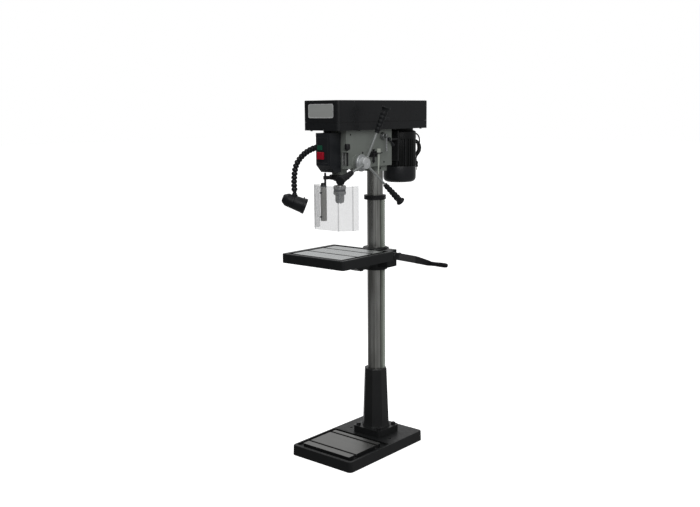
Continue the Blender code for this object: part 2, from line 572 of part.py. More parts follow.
put("stop_button", prism(rrect(-0.0358, 1.4779, 0.0051, 1.5121, 0.002, 2), Y0 - 0.0060, Y0 + 0.0060, "Y"),
    M_RED, (-0.015, Y0, 1.4950), smooth=30)

# -------------------------------------------------------------- work lamp
neck = catmull([(-0.0370, -0.3600, 1.5320), (-0.0550, -0.3600, 1.5320), (-0.0780, -0.3610, 1.5280),
                (-0.1060, -0.3650, 1.5168), (-0.1342, -0.3700, 1.4998), (-0.1561, -0.3750, 1.4781),
                (-0.1717, -0.3800, 1.4564), (-0.1800, -0.3850, 1.4278), (-0.1810, -0.3900, 1.3946),
                (-0.1790, -0.3950, 1.3566), tuple(LAMP_PIVOT)], 12)
bead = 0.0175                                   # spacing of the ball segments
path = even(neck, bead / 2)
rad = [0.0136 if i % 2 else 0.0098 for i in range(len(path))]
rad = [min(r, 0.0090) if i < 3 else r for i, r in enumerate(rad)]
rad[-1] = 0.0098
put("lamp_neck", sweep(path, rad, 8), M_PLASTIC, (-0.043, -0.36, 1.532))
shade = lathe([(0, -0.064), (0.0150, -0.064), (0.0205, -0.060), (0.0300, -0.044), (0.0325, -0.036), (0.0350, 0.020),
               (0.0375, 0.054), (0.0355, 0.054), (0.0312, 0.031), (0.0232, -0.008), (0.0190, -0.040), (0, -0.040)], 18)
lamp = put("lamp_head", aim(shade, LAMP_C, LAMP_D), M_PLASTIC, LAMP_PIVOT)
add(lamp, cyl(0.0090, LAMP_C.z + 0.0265, LAMP_PIVOT.z - 0.0080, 12, "Z", (LAMP_PIVOT.x, LAMP_PIVOT.y, 0)))
bulb = lathe([(0, -0.0395), (0.0120, -0.0395), (0.0130, -0.020), (0.0200, 0.002), (0.0265, 0.020), (0.0255, 0.026),
              (0.0150, 0.031), (0, 0.033)], 14)
put("lamp_bulb", aim(bulb, LAMP_C, LAMP_D), M_LENS, LAMP_PIVOT)

# ------------------------------------------------------------- chuck guard
px, py = SHIELD_PIVOT
arm = put("guard_arm", lathe([(0.0480, 1.3790), (0.0480, 1.4010), (0.0364, 1.4010), (0.0364, 1.3790)], 24,
                             at=(0, QUILL_Y, 0), ring=True), M_BLACK, smooth=30)
d = Vector((px, py - QUILL_Y, 0)).normalized()
n = Vector((-d.y, d.x, 0))
c0, c1 = Vector((0, QUILL_Y, 0)) + d * 0.042, Vector((px, py, 0))
add(arm, prism([tuple((c0 + n * 0.011).xy), tuple((c0 - n * 0.011).xy), tuple((c1 - n * 0.011).xy),
                tuple((c1 + d * 0.008 - n * 0.005).xy), tuple((c1 + d * 0.008 + n * 0.005).xy),
                tuple((c1 + n * 0.011).xy)], 1.3820, 1.3980))
cut(arm, cyl(0.0058, 1.36, 1.42, 12, "Z", (px, py, 0)))
# upright post with its pivot pin; the clear shield is fastened to it
post = put("guard_post", lathe([(0, 1.1850), (0.0140, 1.1850), (0.0150, 1.1860), (0.0150, 1.3480), (0.0110, 1.3640),
                                (0, 1.3660)], 16, at=(*POST_C, 0)), M_POST, (px, py, 1.30))
add(post, lathe([(0, 1.3420), (0.0038, 1.3435), (0.0053, 1.3470), (0.0053, 1.4140), (0, 1.4140)], 12, at=(px, py, 0)))
t = 0.0020
side = [(-0.1240, -0.2760), (-0.1240, -0.3165), (-0.0745, -0.3660), (0.0745, -0.3660), (0.1240, -0.3165),
        (0.1240, -0.2760)]
sh_in = [(-0.1220, -0.2760), (-0.1220, -0.3157), (-0.0737, -0.3640), (0.0737, -0.3640), (0.1220, -0.3157),
         (0.1220, -0.2760)]
put("guard_shield", prism(side + sh_in[::-1], SHIELD_Z0, SHIELD_Z1), M_CLEAR, (px, py, 1.30), smooth=20)

# ------------------------------------------------------------- depth stop
put("depth_stop", lathe([(0, 1.4275), (0.0040, 1.4275), (0.0040, 1.5212), (0.0095, 1.5225), (0.0130, 1.5270),
                         (0.0130, 1.5440), (0.0110, 1.5490), (0, 1.5490)], 14, at=(0.0872, -0.3110, 0)),
    M_BLACK, (0.0872, -0.3110, 1.50))

# -------------------------------------------- tool holder, chuck key, drift
holder = put("tool_holder", box(0.0733, -0.1360, 1.4960, 0.0990, -0.0610, 1.5000), M_BLACK, smooth=30)
add(holder, box(0.0733, -0.1360, 1.4800, 0.0760, -0.0610, 1.4980))
cut(holder, cyl(0.0086, 1.48, 1.52, 16, "Z", (0.0880, -0.1180, 0)))
cut(holder, box(0.0850, -0.0885, 1.48, 0.0910, -0.0690, 1.52))
key = put("chuck_key", lathe([(0, 1.4515), (0.0035, 1.4515), (0.0040, 1.4560), (0.0080, 1.4570), (0.0066, 1.4660),
                              (0.0055, 1.4670), (0.0055, 1.5120), (0.0068, 1.5150), (0.0068, 1.5175), (0, 1.5175)],
                             14, at=(0.0880, -0.1180, 0)), M_BLACK, (0.088, -0.118, 1.50))
add(key, cyl(0.0042, -0.1380, -0.0985, 10, "Y", (0.0880, 0, 1.5046)))
put("drift_key", prism([(-0.0842, 1.3960), (-0.0800, 1.3960), (-0.0712, 1.4990), (-0.0700, 1.5003), (-0.0660, 1.5003),
                        (-0.0660, 1.5190), (-0.0915, 1.5190), (-0.0915, 1.5003), (-0.0870, 1.5003)],
                       0.0862, 0.0898, "X"), M_TOOL, (0.088, -0.078, 1.50), smooth=0)

# ---------------------------------------------------------- table and bracket
outline = rrect(-TABLE_XL, TABLE_Y0, TABLE_X, TABLE_Y1, 0.014)
bm = loft(bmesh.new(), [[(x, y, z) for x, y in grown(outline, d)] for d, z in
                        ((0.0, TABLE_TOP - 0.0447), (0.0, TABLE_TOP - 0.0030), (-0.0022, TABLE_TOP))])
table = put("table", bm, M_TABLE, (0, TILT_Y, TILT_Z))
# trough round the machined face, two T-slots and the hollow underside
cut(table, prism(rrect(-0.172, -0.452, 0.172, -0.107, 0.008, 2), TABLE_TOP - 0.010, TABLE_TOP + 0.02))
add(table, prism(rrect(-0.155, -0.438, 0.155, -0.130, 0.003, 1), TABLE_TOP - 0.020, TABLE_TOP))
table_hollow = bmesh.new()
for x0, x1 in ((-0.181, -0.006), (0.006, 0.181)):
    for y0, y1 in ((-0.460, -0.288), (-0.276, -0.105)):
        prism(rrect(x0 * 0.97, y0, x1 * 0.97, y1, 0.006, 1), TABLE_TOP - 0.08, TABLE_TOP - 0.0320, "Z", table_hollow)
cut(table, table_hollow)
for y in (-0.329, -0.213):
    cut(table, prism([(y - 0.0115, TABLE_TOP - 0.0250), (y + 0.0115, TABLE_TOP - 0.0250), (y + 0.0115, TABLE_TOP - 0.0160),
                      (y + 0.0065, TABLE_TOP - 0.0160), (y + 0.0065, TABLE_TOP + 0.0100), (y - 0.0065, TABLE_TOP + 0.0100),
                      (y - 0.0065, TABLE_TOP - 0.0160), (y - 0.0115, TABLE_TOP - 0.0160)], -0.163, 0.163, "X"))
# tilt boss under the table, facing the bracket
add(table, prism([(TILT_Y - 0.001, TABLE_TOP - 0.030), (TILT_Y - 0.001, TILT_Z - 0.026), (TILT_Y - 0.020, TILT_Z - 0.026),
                  (-0.270, TABLE_TOP - 0.044), (-0.270, TABLE_TOP - 0.030)], -0.030, 0.030, "X"))
cut(table, cyl(0.0084, TILT_Y - 0.06, TILT_Y + 0.02, 16, "Y", (0, 0, TILT_Z)))
cut(table, cyl(0.0165, -0.3600, TILT_Y - 0.0200, 16, "Y", (0, 0, TILT_Z)))     # room for the bolt head

bracket = put("table_bracket", lathe([(0.0600, 0.9100), (0.0625, 0.9125), (0.0625, 1.0205), (0.0600, 1.0230)], 32),
              M_TABLE, smooth=30)
add(bracket, cyl(0.0290, TILT_Y + GAP, -0.040, 24, "Y", (0, 0, TILT_Z)))       # tilt face
add(bracket, prism(rrect(0.030, -0.040, 0.1090, 0.042, 0.010, 2), 0.9300, 1.0130))  # gear housing
add(bracket, prism(rrect(-0.030, 0.050, 0.030, 0.078, 0.004, 1), 0.9250, 1.0150))   # clamp ears
cut(bracket, cyl(COL_R + 0.0004, 0.89, 1.05, 32))
slot = box(0.030, -0.0120, 0.89, 0.0544, 0.0120, 1.05)
bmesh.ops.rotate(slot, verts=slot.verts, cent=(0, 0, 0), matrix=Matrix.Rotation(RACK_A, 3, "Z"))
cut(bracket, slot)
cut(bracket, box(-0.002, 0.030, 0.89, 0.002, 0.10, 1.05))                      # clamp split
cut(bracket, cyl(0.0070, -0.05, 0.05, 12, "X", (0, 0.0660, 0.9700)))
cut(bracket, cyl(0.0084, TILT_Y - 0.02, -0.085, 16, "Y", (0, 0, TILT_Z)))
cut(bracket, cyl(0.0084, 0.070, 0.12, 16, "X", (0, CRANK_C[1], CRANK_C[2])))
put("tilt_bolt", lathe([(0, -0.0880), (0.0078, -0.0880), (0.0078, TILT_Y - 0.0200 - GAP - 0.0003),
                        (0.0135, TILT_Y - 0.0206), (0.0135, TILT_Y - 0.0300), (0, TILT_Y - 0.0300)], 12, "Y",
                       (0, 0, TILT_Z), hexes=(3, 4)), M_BOLT, smooth=30)
clamp = put("column_clamp_lever", lathe([(0, -0.034), (0.0110, -0.034), (0.0110, -0.0303), (0.0064, -0.0303),
                                         (0.0064, 0.0303), (0.0100, 0.0303), (0.0100, 0.0450), (0, 0.0450)], 14, "X",
                                        (0, 0.0660, 0.9700)), M_BLACK, (0.0, 0.0660, 0.9700))
cl = lathe([(0.0055, 0.0), (0.0045, 0.060), (0.0085, 0.085), (0.0060, 0.096)], 12)
aim(cl, (0.0385, 0.0660, 0.9700), (0.0, 1.0, -0.02))
add(clamp, cl)

# crank: hub, offset arm that clears the table edge, and a loose grip
cx, cy, cz = CRANK_C
tx, ty, tz = CRANK_TIP
a_dir = Vector((0, ty - cy, tz - cz)).normalized()
up = Vector((0, -a_dir.z, a_dir.y))
reach = Vector((0, ty - cy, tz - cz)).length
rings = []
for s, x, w, th in ((-0.015, 0.1270, 0.0130, 0.0060), (0.000, 0.1270, 0.0180, 0.0065), (0.018, 0.1340, 0.0180, 0.0065),
                    (0.044, 0.1660, 0.0180, 0.0060), (0.068, 0.1965, 0.0180, 0.0052), (0.088, 0.2005, 0.0178, 0.0050),
                    (0.150, 0.2005, 0.0155, 0.0050), (0.185, 0.2005, 0.0140, 0.0050), (reach + 0.004, 0.2005, 0.0115, 0.0050),
                    (reach + 0.012, 0.2005, 0.0060, 0.0045)):
    c = Vector((x, cy, cz)) + a_dir * s
    ch = 0.0020
    rings.append([c + Vector((dx, 0, 0)) + up * du for dx, du in
                  ((-th, -w + ch), (-th + ch, -w), (th - ch, -w), (th, -w + ch), (th, w - ch), (th - ch, w),
                   (-th + ch, w), (-th, w - ch))])
crank = put("crank_arm", loft(bmesh.new(), rings), M_BLACK, CRANK_C, smooth=40)
add(crank, lathe([(0.0080, 0.0740), (0.0080, 0.1093), (0.0180, 0.1093), (0.0180, 0.1330), (0.0150, 0.1360)], 20, "X",
                 (0, cy, cz)))
add(crank, cyl(0.0045, 0.1990, 0.3000, 12, "X", (0, ty, tz)))
put("crank_grip", lathe([(0, 0.3010), (0.0050, 0.3010), (0.0050, 0.2062), (0.0100, 0.2062), (0.0118, 0.2080),
                         (0.0118, 0.3000), (0.0100, 0.3050), (0, 0.3060)], 16, "X", (0, ty, tz)),
    M_RUBBER, (0.25, ty, tz))

# ------------------------------------------------------------------ power cord
EXIT = Vector((-0.0196, 0.2990, 1.5850))
put("cord_gland", lathe([(0.0055, -0.0300), (0.0055, -0.0197), (0.0095, -0.0197), (0.0095, -0.0130), (0.0060, 0.0120),
                         (0.0050, 0.0120)], 14, "X", (0, EXIT.y, EXIT.z)), M_CORD)
route = [(0.0123, 0.2990, 1.5850), (0.0180, 0.2990, 1.5850)]
for k in range(1, 6):                           # over and down, on a 29 mm bend
    t = math.radians(90 - 18 * k)
    route.append((0.0180 + 0.0290 * math.cos(t), 0.2990 + 0.0022 * k, 1.5560 + 0.0290 * math.sin(t)))
route += [(0.0455, 0.3145, 1.5420), (0.0412, 0.3180, 1.5300)]
line = [Vector(route[0])] + even(catmull(route[1:], 10), CORD_D * 1.5)
cu = bpy.data.curves.new("cord_lead", "CURVE")
cu.dimensions = "3D"
sp = cu.splines.new("POLY")
sp.points.add(len(line) - 1)
for p, q in zip(sp.points, line):
    p.co = (*q, 1)
cu.bevel_depth = CORD_D / 2
cu.bevel_resolution = 2
cu.use_fill_caps = True
cu.materials.append(M_CORD)
lead = bpy.data.objects.new("cord_lead", cu)
bpy.context.scene.collection.objects.link(lead)
put("cord_coil", lathe([(COIL_RI, COIL_Y0 + 0.0030), (COIL_RI + 0.0030, COIL_Y0), (COIL_RO - 0.0030, COIL_Y0),
                        (COIL_RO, COIL_Y0 + 0.0030), (COIL_RO, COIL_Y1 - 0.0030), (COIL_RO - 0.0030, COIL_Y1),
                        (COIL_RI + 0.0030, COIL_Y1), (COIL_RI, COIL_Y1 - 0.0030)], 24, "Y",
                       (COIL_C[0], 0, COIL_C[1]), ring=True), M_CORD)
plug = put("power_plug", lathe([(0.0042, 1.4622), (0.0056, 1.4400), (0.0115, 1.4360), (0.0126, 1.4310), (0.0126, 1.4130),
                                (0.0100, 1.4070)], 16, at=(PLUG_C[0], PLUG_C[1], 0)), M_CORD)
for sx in (-1, 1):
    add(plug, box(PLUG_C[0] + sx * 0.0063 - 0.0008, 0.3260, 1.3900, PLUG_C[0] + sx * 0.0063 + 0.0008, 0.3320, 1.4080))
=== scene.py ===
import math
import random
import bpy
import bmesh
from mathutils import Matrix, Vector


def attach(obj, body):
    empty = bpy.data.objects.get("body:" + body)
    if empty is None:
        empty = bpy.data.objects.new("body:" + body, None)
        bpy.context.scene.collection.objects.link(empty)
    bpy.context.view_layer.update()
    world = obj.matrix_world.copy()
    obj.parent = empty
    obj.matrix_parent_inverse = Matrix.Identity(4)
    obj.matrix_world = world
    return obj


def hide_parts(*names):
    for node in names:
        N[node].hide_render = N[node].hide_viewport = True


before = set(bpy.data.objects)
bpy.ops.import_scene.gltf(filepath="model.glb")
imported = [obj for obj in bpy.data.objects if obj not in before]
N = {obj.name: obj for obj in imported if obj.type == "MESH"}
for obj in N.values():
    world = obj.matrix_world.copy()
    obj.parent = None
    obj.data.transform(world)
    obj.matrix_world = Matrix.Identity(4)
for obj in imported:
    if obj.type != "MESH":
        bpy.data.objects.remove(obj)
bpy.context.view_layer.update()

PI = math.pi
rad = math.radians
scene = bpy.context.scene

# ------------------------------------------------------------------ camera
az, el, ro = rad(40.4429), rad(9.0693), rad(-0.4819)
fwd = Vector((-math.sin(az) * math.cos(el), math.cos(az) * math.cos(el), -math.sin(el)))
right = Vector((math.cos(az), math.sin(az), 0))
up = right.cross(fwd)
R = right * math.cos(ro) + up * math.sin(ro)
U = -right * math.sin(ro) + up * math.cos(ro)
cam_data = bpy.data.cameras.new("camera")
cam_data.lens, cam_data.sensor_width = 46.26, 36
cam_data.clip_start, cam_data.clip_end = 0.05, 100
cam_data.dof.use_dof = False
cam = bpy.data.objects.new("camera", cam_data)
m = Matrix((R, U, -fwd)).transposed().to_4x4()
m.translation = (2.8181, -3.5026, 1.7050)
cam.matrix_world = m
scene.collection.objects.link(cam)
scene.camera = cam
scene.view_settings.view_transform = "Standard"
scene.view_settings.look = "None"

# ------------------------------------------------------------------- helpers
PLANES = {"Z": lambda u, v, h: (u, v, h), "X": lambda u, v, h: (h, u, v), "Y": lambda u, v, h: (u, h, v)}


def lathe(prof, segs=48, axis="Z", at=(0, 0, 0), ring=False, bm=None, mod=None):
    """Turn a (radius, height) profile; mod(row, angle) scales a radius."""
    bm = bm or bmesh.new()
    f = PLANES[axis]
    rows = []
    for k, (r, h) in enumerate(prof):
        if r <= 1e-9:
            rows.append([bm.verts.new(Vector(f(0, 0, h)) + Vector(at))])
            continue
        row = []
        for i in range(segs):
            a = 2 * PI * i / segs
            rr = r * (mod(k, i) if mod else 1.0)
            row.append(bm.verts.new(Vector(f(rr * math.cos(a), rr * math.sin(a), h)) + Vector(at)))
        rows.append(row)
    pairs = list(zip(rows, rows[1:]))
    if ring:
        pairs.append((rows[-1], rows[0]))
    for a, b in pairs:
        if len(a) == 1 and len(b) == 1:
            continue
        for i in range(segs):
            j = (i + 1) % segs
            if len(a) == 1:
                bm.faces.new((a[0], b[j], b[i]))
            elif len(b) == 1:
                bm.faces.new((a[i], a[j], b[0]))
            else:
                bm.faces.new((a[i], a[j], b[j], b[i]))
    if not ring:
        if len(rows[0]) > 1:
            bm.faces.new(list(reversed(rows[0])))
        if len(rows[-1]) > 1:
            bm.faces.new(rows[-1])
    return bm


def rrect(x0, y0, x1, y1, r, n=6):
    out = []
    for cx, cy, a0, sx, sy in ((x0, y0, 180, 1, 1), (x1, y0, 270, -1, 1), (x1, y1, 0, -1, -1), (x0, y1, 90, 1, -1)):
        for i in range(n + 1):
            a = rad(a0 + 90 * i / n)
            out.append((cx + sx * r + r * math.cos(a), cy + sy * r + r * math.sin(a)))
    return out


def loft(bm, rings, close=True):
    vs = [[bm.verts.new(p) for p in ring] for ring in rings]
    n = len(vs[0])
    for a, b in zip(vs, vs[1:]):
        for i in range(n):
            j = (i + 1) % n
            bm.faces.new((a[i], a[j], b[j], b[i]))
    if close:
        bm.faces.new(list(reversed(vs[0])))
        bm.faces.new(vs[-1])
    return bm


def prism(poly, h0, h1, plane="Z", bm=None):
    f = PLANES[plane]
    return loft(bm or bmesh.new(), [[f(u, v, h0) for u, v in poly], [f(u, v, h1) for u, v in poly]])


def box(x0, y0, z0, x1, y1, z1, bm=None):
    return prism([(x0, y0), (x1, y0), (x1, y1), (x0, y1)], z0, z1, "Z", bm)


def pillow(x0, y0, x1, y1, r, levels, plane, bm=None):
    """Stack of rounded rectangles: levels are (height, inset)."""
    f = PLANES[plane]
    return loft(bm or bmesh.new(), [[f(u, v, h) for u, v in rrect(x0 + e, y0 + e, x1 - e, y1 - e, max(r - e, 0.0004))]
                                    for h, e in levels])


def aim(bm, origin, direction, verts=None, roll=0.0):
    q = Vector(direction).to_track_quat("Z", "Y").to_matrix().to_4x4()
    bmesh.ops.transform(bm, matrix=Matrix.Translation(origin) @ q @ Matrix.Rotation(roll, 4, "Z"),
                        verts=verts or bm.verts)
    return bm


def merge(bm, other):
    """Copy another bmesh's geometry into bm."""
    me = bpy.data.meshes.new("tmp")
    other.to_mesh(me)
    other.free()
    bm.from_mesh(me)
    bpy.data.meshes.remove(me)
    return bm


def catmull(pts, n):
    p = [Vector(q) for q in pts]
    p = [2 * p[0] - p[1]] + p + [2 * p[-1] - p[-2]]
    out = []
    for i in range(1, len(p) - 2):
        for k in range(n):
            t = k / n
            a, b, c, d = p[i - 1], p[i], p[i + 1], p[i + 2]
            out.append(0.5 * (2 * b + (c - a) * t + (2 * a - 5 * b + 4 * c - d) * t * t
                              + (3 * b - a - 3 * c + d) * t ** 3))
    out.append(p[-2])
    return out


def even(pts, step):
    acc = [0.0]
    for a, b in zip(pts, pts[1:]):
        acc.append(acc[-1] + (b - a).length)
    n = max(2, round(acc[-1] / step))
    out, j = [], 0
    for i in range(n + 1):
        s = acc[-1] * i / n
        while j < len(acc) - 2 and acc[j + 1] < s:
            j += 1
        t = (s - acc[j]) / max(acc[j + 1] - acc[j], 1e-12)
        out.append(pts[j].lerp(pts[j + 1], min(1, t)))
    return out


def sweep(path, radii, segs=16, bm=None, flat=1.0):
    bm = bm or bmesh.new()
    rings, ref = [], None
    for i, p in enumerate(path):
        t = (path[min(i + 1, len(path) - 1)] - path[max(i - 1, 0)]).normalized()
        if ref is None:
            ref = t.orthogonal().normalized()
        ref = (ref - t * ref.dot(t)).normalized()
        u = t.cross(ref)
        rings.append([p + (ref * math.cos(2 * PI * k / segs) + u * flat * math.sin(2 * PI * k / segs)) * radii[i]
                      for k in range(segs)])
    return loft(bm, rings)


def piece(name, bm, mats, body, replaces=(), smooth=35, bevel=0.0, segs=2, angle=35):
    bmesh.ops.remove_doubles(bm, verts=bm.verts, dist=1e-6)
    bmesh.ops.recalc_face_normals(bm, faces=bm.faces)
    me = bpy.data.meshes.new(name)
    bm.to_mesh(me)
    bm.free()
    for mt in mats if isinstance(mats, (list, tuple)) else [mats]:
        me.materials.append(mt)
    me.shade_smooth()
    if smooth:
        me.set_sharp_from_angle(angle=rad(smooth))
    o = bpy.data.objects.new(name, me)
    scene.collection.objects.link(o)
    if bevel:
        b = o.modifiers.new("bevel", "BEVEL")
        b.width, b.segments, b.limit_method, b.angle_limit = bevel, segs, "ANGLE", rad(angle)
        b.harden_normals = True
        me.shade_smooth()
        w = o.modifiers.new("wn", "WEIGHTED_NORMAL")
        w.keep_sharp = False
    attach(o, body)
    if replaces:
        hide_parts(*([replaces] if isinstance(replaces, str) else replaces))
    return o


def cad(name, mat, bevel=0.0, segs=2, angle=32, pick=None, mats=()):
    """Give a CAD node its material, soft edges, and other materials on the faces that pick(polygon centre, normal) names."""
    o = N[name]
    me = o.data
    me.materials.clear()
    me.materials.append(mat)
    for x in mats:
        me.materials.append(x)
    if pick:
        for p in me.polygons:
            p.material_index = pick(p.center, p.normal)
    if bevel:
        w = o.modifiers.new("weld", "WELD")
        w.merge_threshold = 0.00002
        d = o.modifiers.new("planar", "DECIMATE")
        d.decimate_type, d.angle_limit, d.delimit = "DISSOLVE", rad(0.6), {"MATERIAL"}
        b = o.modifiers.new("bevel", "BEVEL")
        b.width, b.segments, b.limit_method, b.angle_limit = bevel, segs, "ANGLE", rad(angle)
        wn = o.modifiers.new("wn", "WEIGHTED_NORMAL")
        wn.keep_sharp = False
    return o


# ----------------------------------------------------------------- materials
def nodes_of(name):
    mt = bpy.data.materials.new(name)
    mt.use_nodes = True
    nt = mt.node_tree
    return mt, nt, nt.nodes["Principled BSDF"]


def mk(name, rgb, rough, metal=0.0, var=0.16, rvar=0.07, scale=9.0, bump=0.12, bscale=420.0, stretch=(1, 1, 1),
       coat=0.0, dirt=0.0, spec=0.5, scratch=0.0):
    """A paint, plastic or metal: cloudy colour and gloss, a fine surface grain, and faint scuffs."""
    mt, nt, b = nodes_of(name)
    tc = nt.nodes.new("ShaderNodeTexCoord")
    mp = nt.nodes.new("ShaderNodeMapping")
    mp.inputs["Scale"].default_value = stretch
    nt.links.new(tc.outputs["Object"], mp.inputs["Vector"])

    def noise(s, detail=4.0, rg=0.55, vec=mp):
        n = nt.nodes.new("ShaderNodeTexNoise")
        n.inputs["Scale"].default_value = s
        n.inputs["Detail"].default_value = detail
        n.inputs["Roughness"].default_value = rg
        nt.links.new(vec.outputs[0], n.inputs["Vector"])
        return n

    def ramp(src, a, bb, lo, hi):
        r = nt.nodes.new("ShaderNodeMapRange")
        r.inputs["From Min"].default_value, r.inputs["From Max"].default_value = a, bb
        r.inputs["To Min"].default_value, r.inputs["To Max"].default_value = lo, hi
        nt.links.new(src, r.inputs["Value"])
        return r.outputs["Result"]

    big, mid, fine = noise(scale), noise(scale * 7, 5), noise(bscale, 3)
    mix = nt.nodes.new("ShaderNodeMix")
    mix.data_type = "RGBA"
    mix.inputs["A"].default_value = (*[c * (1 - var) for c in rgb], 1)
    mix.inputs["B"].default_value = (*[min(1, c * (1 + var)) for c in rgb], 1)
    add = nt.nodes.new("ShaderNodeMath")
    add.operation = "ADD"
    nt.links.new(ramp(big.outputs["Fac"], 0.3, 0.7, 0, 0.6), add.inputs[0])
    nt.links.new(ramp(mid.outputs["Fac"], 0.3, 0.7, 0, 0.4), add.inputs[1])
    nt.links.new(add.outputs[0], mix.inputs["Factor"])
    colour = mix.outputs["Result"]
    if scratch:
        sc = nt.nodes.new("ShaderNodeTexVoronoi")
        sc.feature = "DISTANCE_TO_EDGE"
        sc.inputs["Scale"].default_value = scale * 2.2
        warp = nt.nodes.new("ShaderNodeMapping")
        warp.inputs["Scale"].default_value = (1.0, 0.35, 2.6)
        warp.inputs["Rotation"].default_value = (0.4, 0.7, 0.3)
        nt.links.new(tc.outputs["Object"], warp.inputs["Vector"])
        nt.links.new(warp.outputs[0], sc.inputs["Vector"])
        m2 = nt.nodes.new("ShaderNodeMix")
        m2.data_type = "RGBA"
        m2.inputs["B"].default_value = (*[min(1, c * 2.2 + 0.02) for c in rgb], 1)
        nt.links.new(colour, m2.inputs["A"])
        nt.links.new(ramp(sc.outputs["Distance"], 0.0, 0.012, scratch, 0.0), m2.inputs["Factor"])
        colour = m2.outputs["Result"]
    nt.links.new(colour, b.inputs["Base Color"])
    nt.links.new(ramp(mid.outputs["Fac"], 0.3, 0.7, max(0.03, rough - rvar), rough + rvar), b.inputs["Roughness"])
    b.inputs["Metallic"].default_value = metal
    b.inputs["Specular IOR Level"].default_value = spec
    if coat:
        b.inputs["Coat Weight"].default_value = coat
        b.inputs["Coat Roughness"].default_value = 0.12
    bp = nt.nodes.new("ShaderNodeBump")
    bp.inputs["Strength"].default_value = bump
    bp.inputs["Distance"].default_value = 0.0006
    nt.links.new(fine.outputs["Fac"], bp.inputs["Height"])
    nt.links.new(bp.outputs[0], b.inputs["Normal"])
    return mt


M = {}
M["cast"] = mk("cast_paint", (0.016, 0.017, 0.018), 0.44, bump=0.30, bscale=260, scratch=0.04, spec=0.34)
M["cast_foot"] = mk("foot_paint", (0.020, 0.021, 0.022), 0.40, bump=0.32, bscale=230)
M["face"] = mk("machined_face", (0.53, 0.55, 0.55), 0.30, 0.75, var=0.06, stretch=(0.15, 6, 1), scale=20, bump=0.10, bscale=160)
M["pad"] = mk("machined_pad", (0.215, 0.215, 0.21), 0.38, 0.75, var=0.18, stretch=(0.15, 6, 1), scale=16, bump=0.12, bscale=160)
M["slot_steel"] = mk("slot_steel", (0.10, 0.10, 0.10), 0.5, 0.6, bump=0.2)
M["guard"] = mk("guard_paint", (0.015, 0.016, 0.018), 0.33, bump=0.16, bscale=520, var=0.10, spec=0.40)
M["head"] = mk("head_paint", (0.275, 0.30, 0.275), 0.46, bump=0.22, bscale=300, var=0.05, dirt=0.2)
M["black"] = mk("black_steel", (0.017, 0.017, 0.019), 0.42, 0.0, bump=0.14, spec=0.40)
M["blackoxide"] = mk("black_oxide", (0.060, 0.060, 0.064), 0.36, 0.85, bump=0.12)
M["plastic"] = mk("black_plastic", (0.017, 0.019, 0.023), 0.38, bump=0.22, bscale=700, var=0.08, spec=0.42)
M["lamp"] = mk("lamp_plastic", (0.013, 0.014, 0.017), 0.38, bump=0.10, bscale=600, var=0.08, spec=0.36)
M["trim"] = mk("panel_trim", (0.060, 0.062, 0.066), 0.34, bump=0.10, bscale=600, var=0.08)
M["plate"] = mk("plate_silver", (0.64, 0.66, 0.64), 0.36, 0.25, var=0.05, stretch=(0.2, 1, 9), scale=14, bump=0.05, bscale=90)
M["scale"] = mk("scale_plate", (0.17, 0.18, 0.17), 0.40, 0.2, var=0.08, bump=0.06)
M["plate_rim"] = mk("plate_rim", (0.84, 0.85, 0.85), 0.30, 0.35, var=0.05)
M["green"] = mk("green_button", (0.011, 0.112, 0.060), 0.34, var=0.08, bump=0.06)
M["red"] = mk("red_button", (0.52, 0.004, 0.024), 0.34, var=0.06, bump=0.06)
M["silver"] = mk("hub_silver", (0.80, 0.82, 0.83), 0.34, 0.30, var=0.05, bump=0.10, bscale=500)
M["dial"] = mk("dial_silver", (0.54, 0.56, 0.57), 0.36, 0.45, var=0.05, bump=0.10, bscale=500)
M["spoke"] = mk("spoke_grey", (0.40, 0.42, 0.415), 0.36, 0.3, var=0.06, stretch=(1, 1, 1), bump=0.06)
M["rubber"] = mk("grip_rubber", (0.010, 0.011, 0.013), 0.56, var=0.10, bump=0.22, bscale=600, spec=0.34)
M["chrome"] = mk("chrome", (0.72, 0.73, 0.75), 0.13, 1.0, var=0.03, rvar=0.04, bump=0.02)
M["steel"] = mk("turned_steel", (0.42, 0.42, 0.415), 0.26, 1.0, var=0.10, stretch=(1, 1, 14), scale=30, bump=0.05, bscale=120)
M["jaw"] = mk("jaw_steel", (0.16, 0.16, 0.16), 0.32, 1.0, var=0.10, bump=0.06)
M["rack"] = mk("rack_steel", (0.60, 0.66, 0.58), 0.38, 0.55, var=0.12, bump=0.12, scale=14)
M["pulley"] = mk("pulley_aluminium", (0.62, 0.62, 0.62), 0.34, 1.0, var=0.06, stretch=(1, 1, 10), scale=24, bump=0.06)
M["belt"] = mk("belt_rubber", (0.020, 0.020, 0.021), 0.62, var=0.15, bump=0.3)
M["motor"] = mk("motor_paint", (0.009, 0.0095, 0.010), 0.42, bump=0.20, bscale=380, var=0.10, spec=0.30)
# near-black used only as painted shade: the seam strip under the belt guard lid and the fan's air slots
M["painted_shade_dark"] = mk("painted_shade_dark", (0.006, 0.006, 0.007), 0.6, bump=0.2)
M["fan"] = mk("fan_cover_paint", (0.020, 0.021, 0.024), 0.34, bump=0.14, bscale=500, var=0.10, spec=0.42)
M["post"] = mk("post_grey", (0.80, 0.785, 0.71), 0.34, 0.25, var=0.08, stretch=(1, 1, 0.15), scale=30, bump=0.06)
M["tool"] = mk("tool_steel", (0.76, 0.81, 0.72), 0.34, 0.15, var=0.08, bump=0.06)
M["steel_dark"] = mk("knurl_steel", (0.10, 0.10, 0.10), 0.40, 0.8, var=0.15, bump=0.2)
M["steel_light"] = mk("ground_steel", (0.82, 0.82, 0.80), 0.28, 0.9, var=0.08, stretch=(1, 1, 14), scale=30, bump=0.05,
                      bscale=120)
M["disc"] = mk("lever_steel", (0.26, 0.27, 0.27), 0.34, 0.8, var=0.08, bump=0.06)
M["cord"] = mk("cord_rubber", (0.016, 0.016, 0.017), 0.50, var=0.10, bump=0.12, bscale=900)
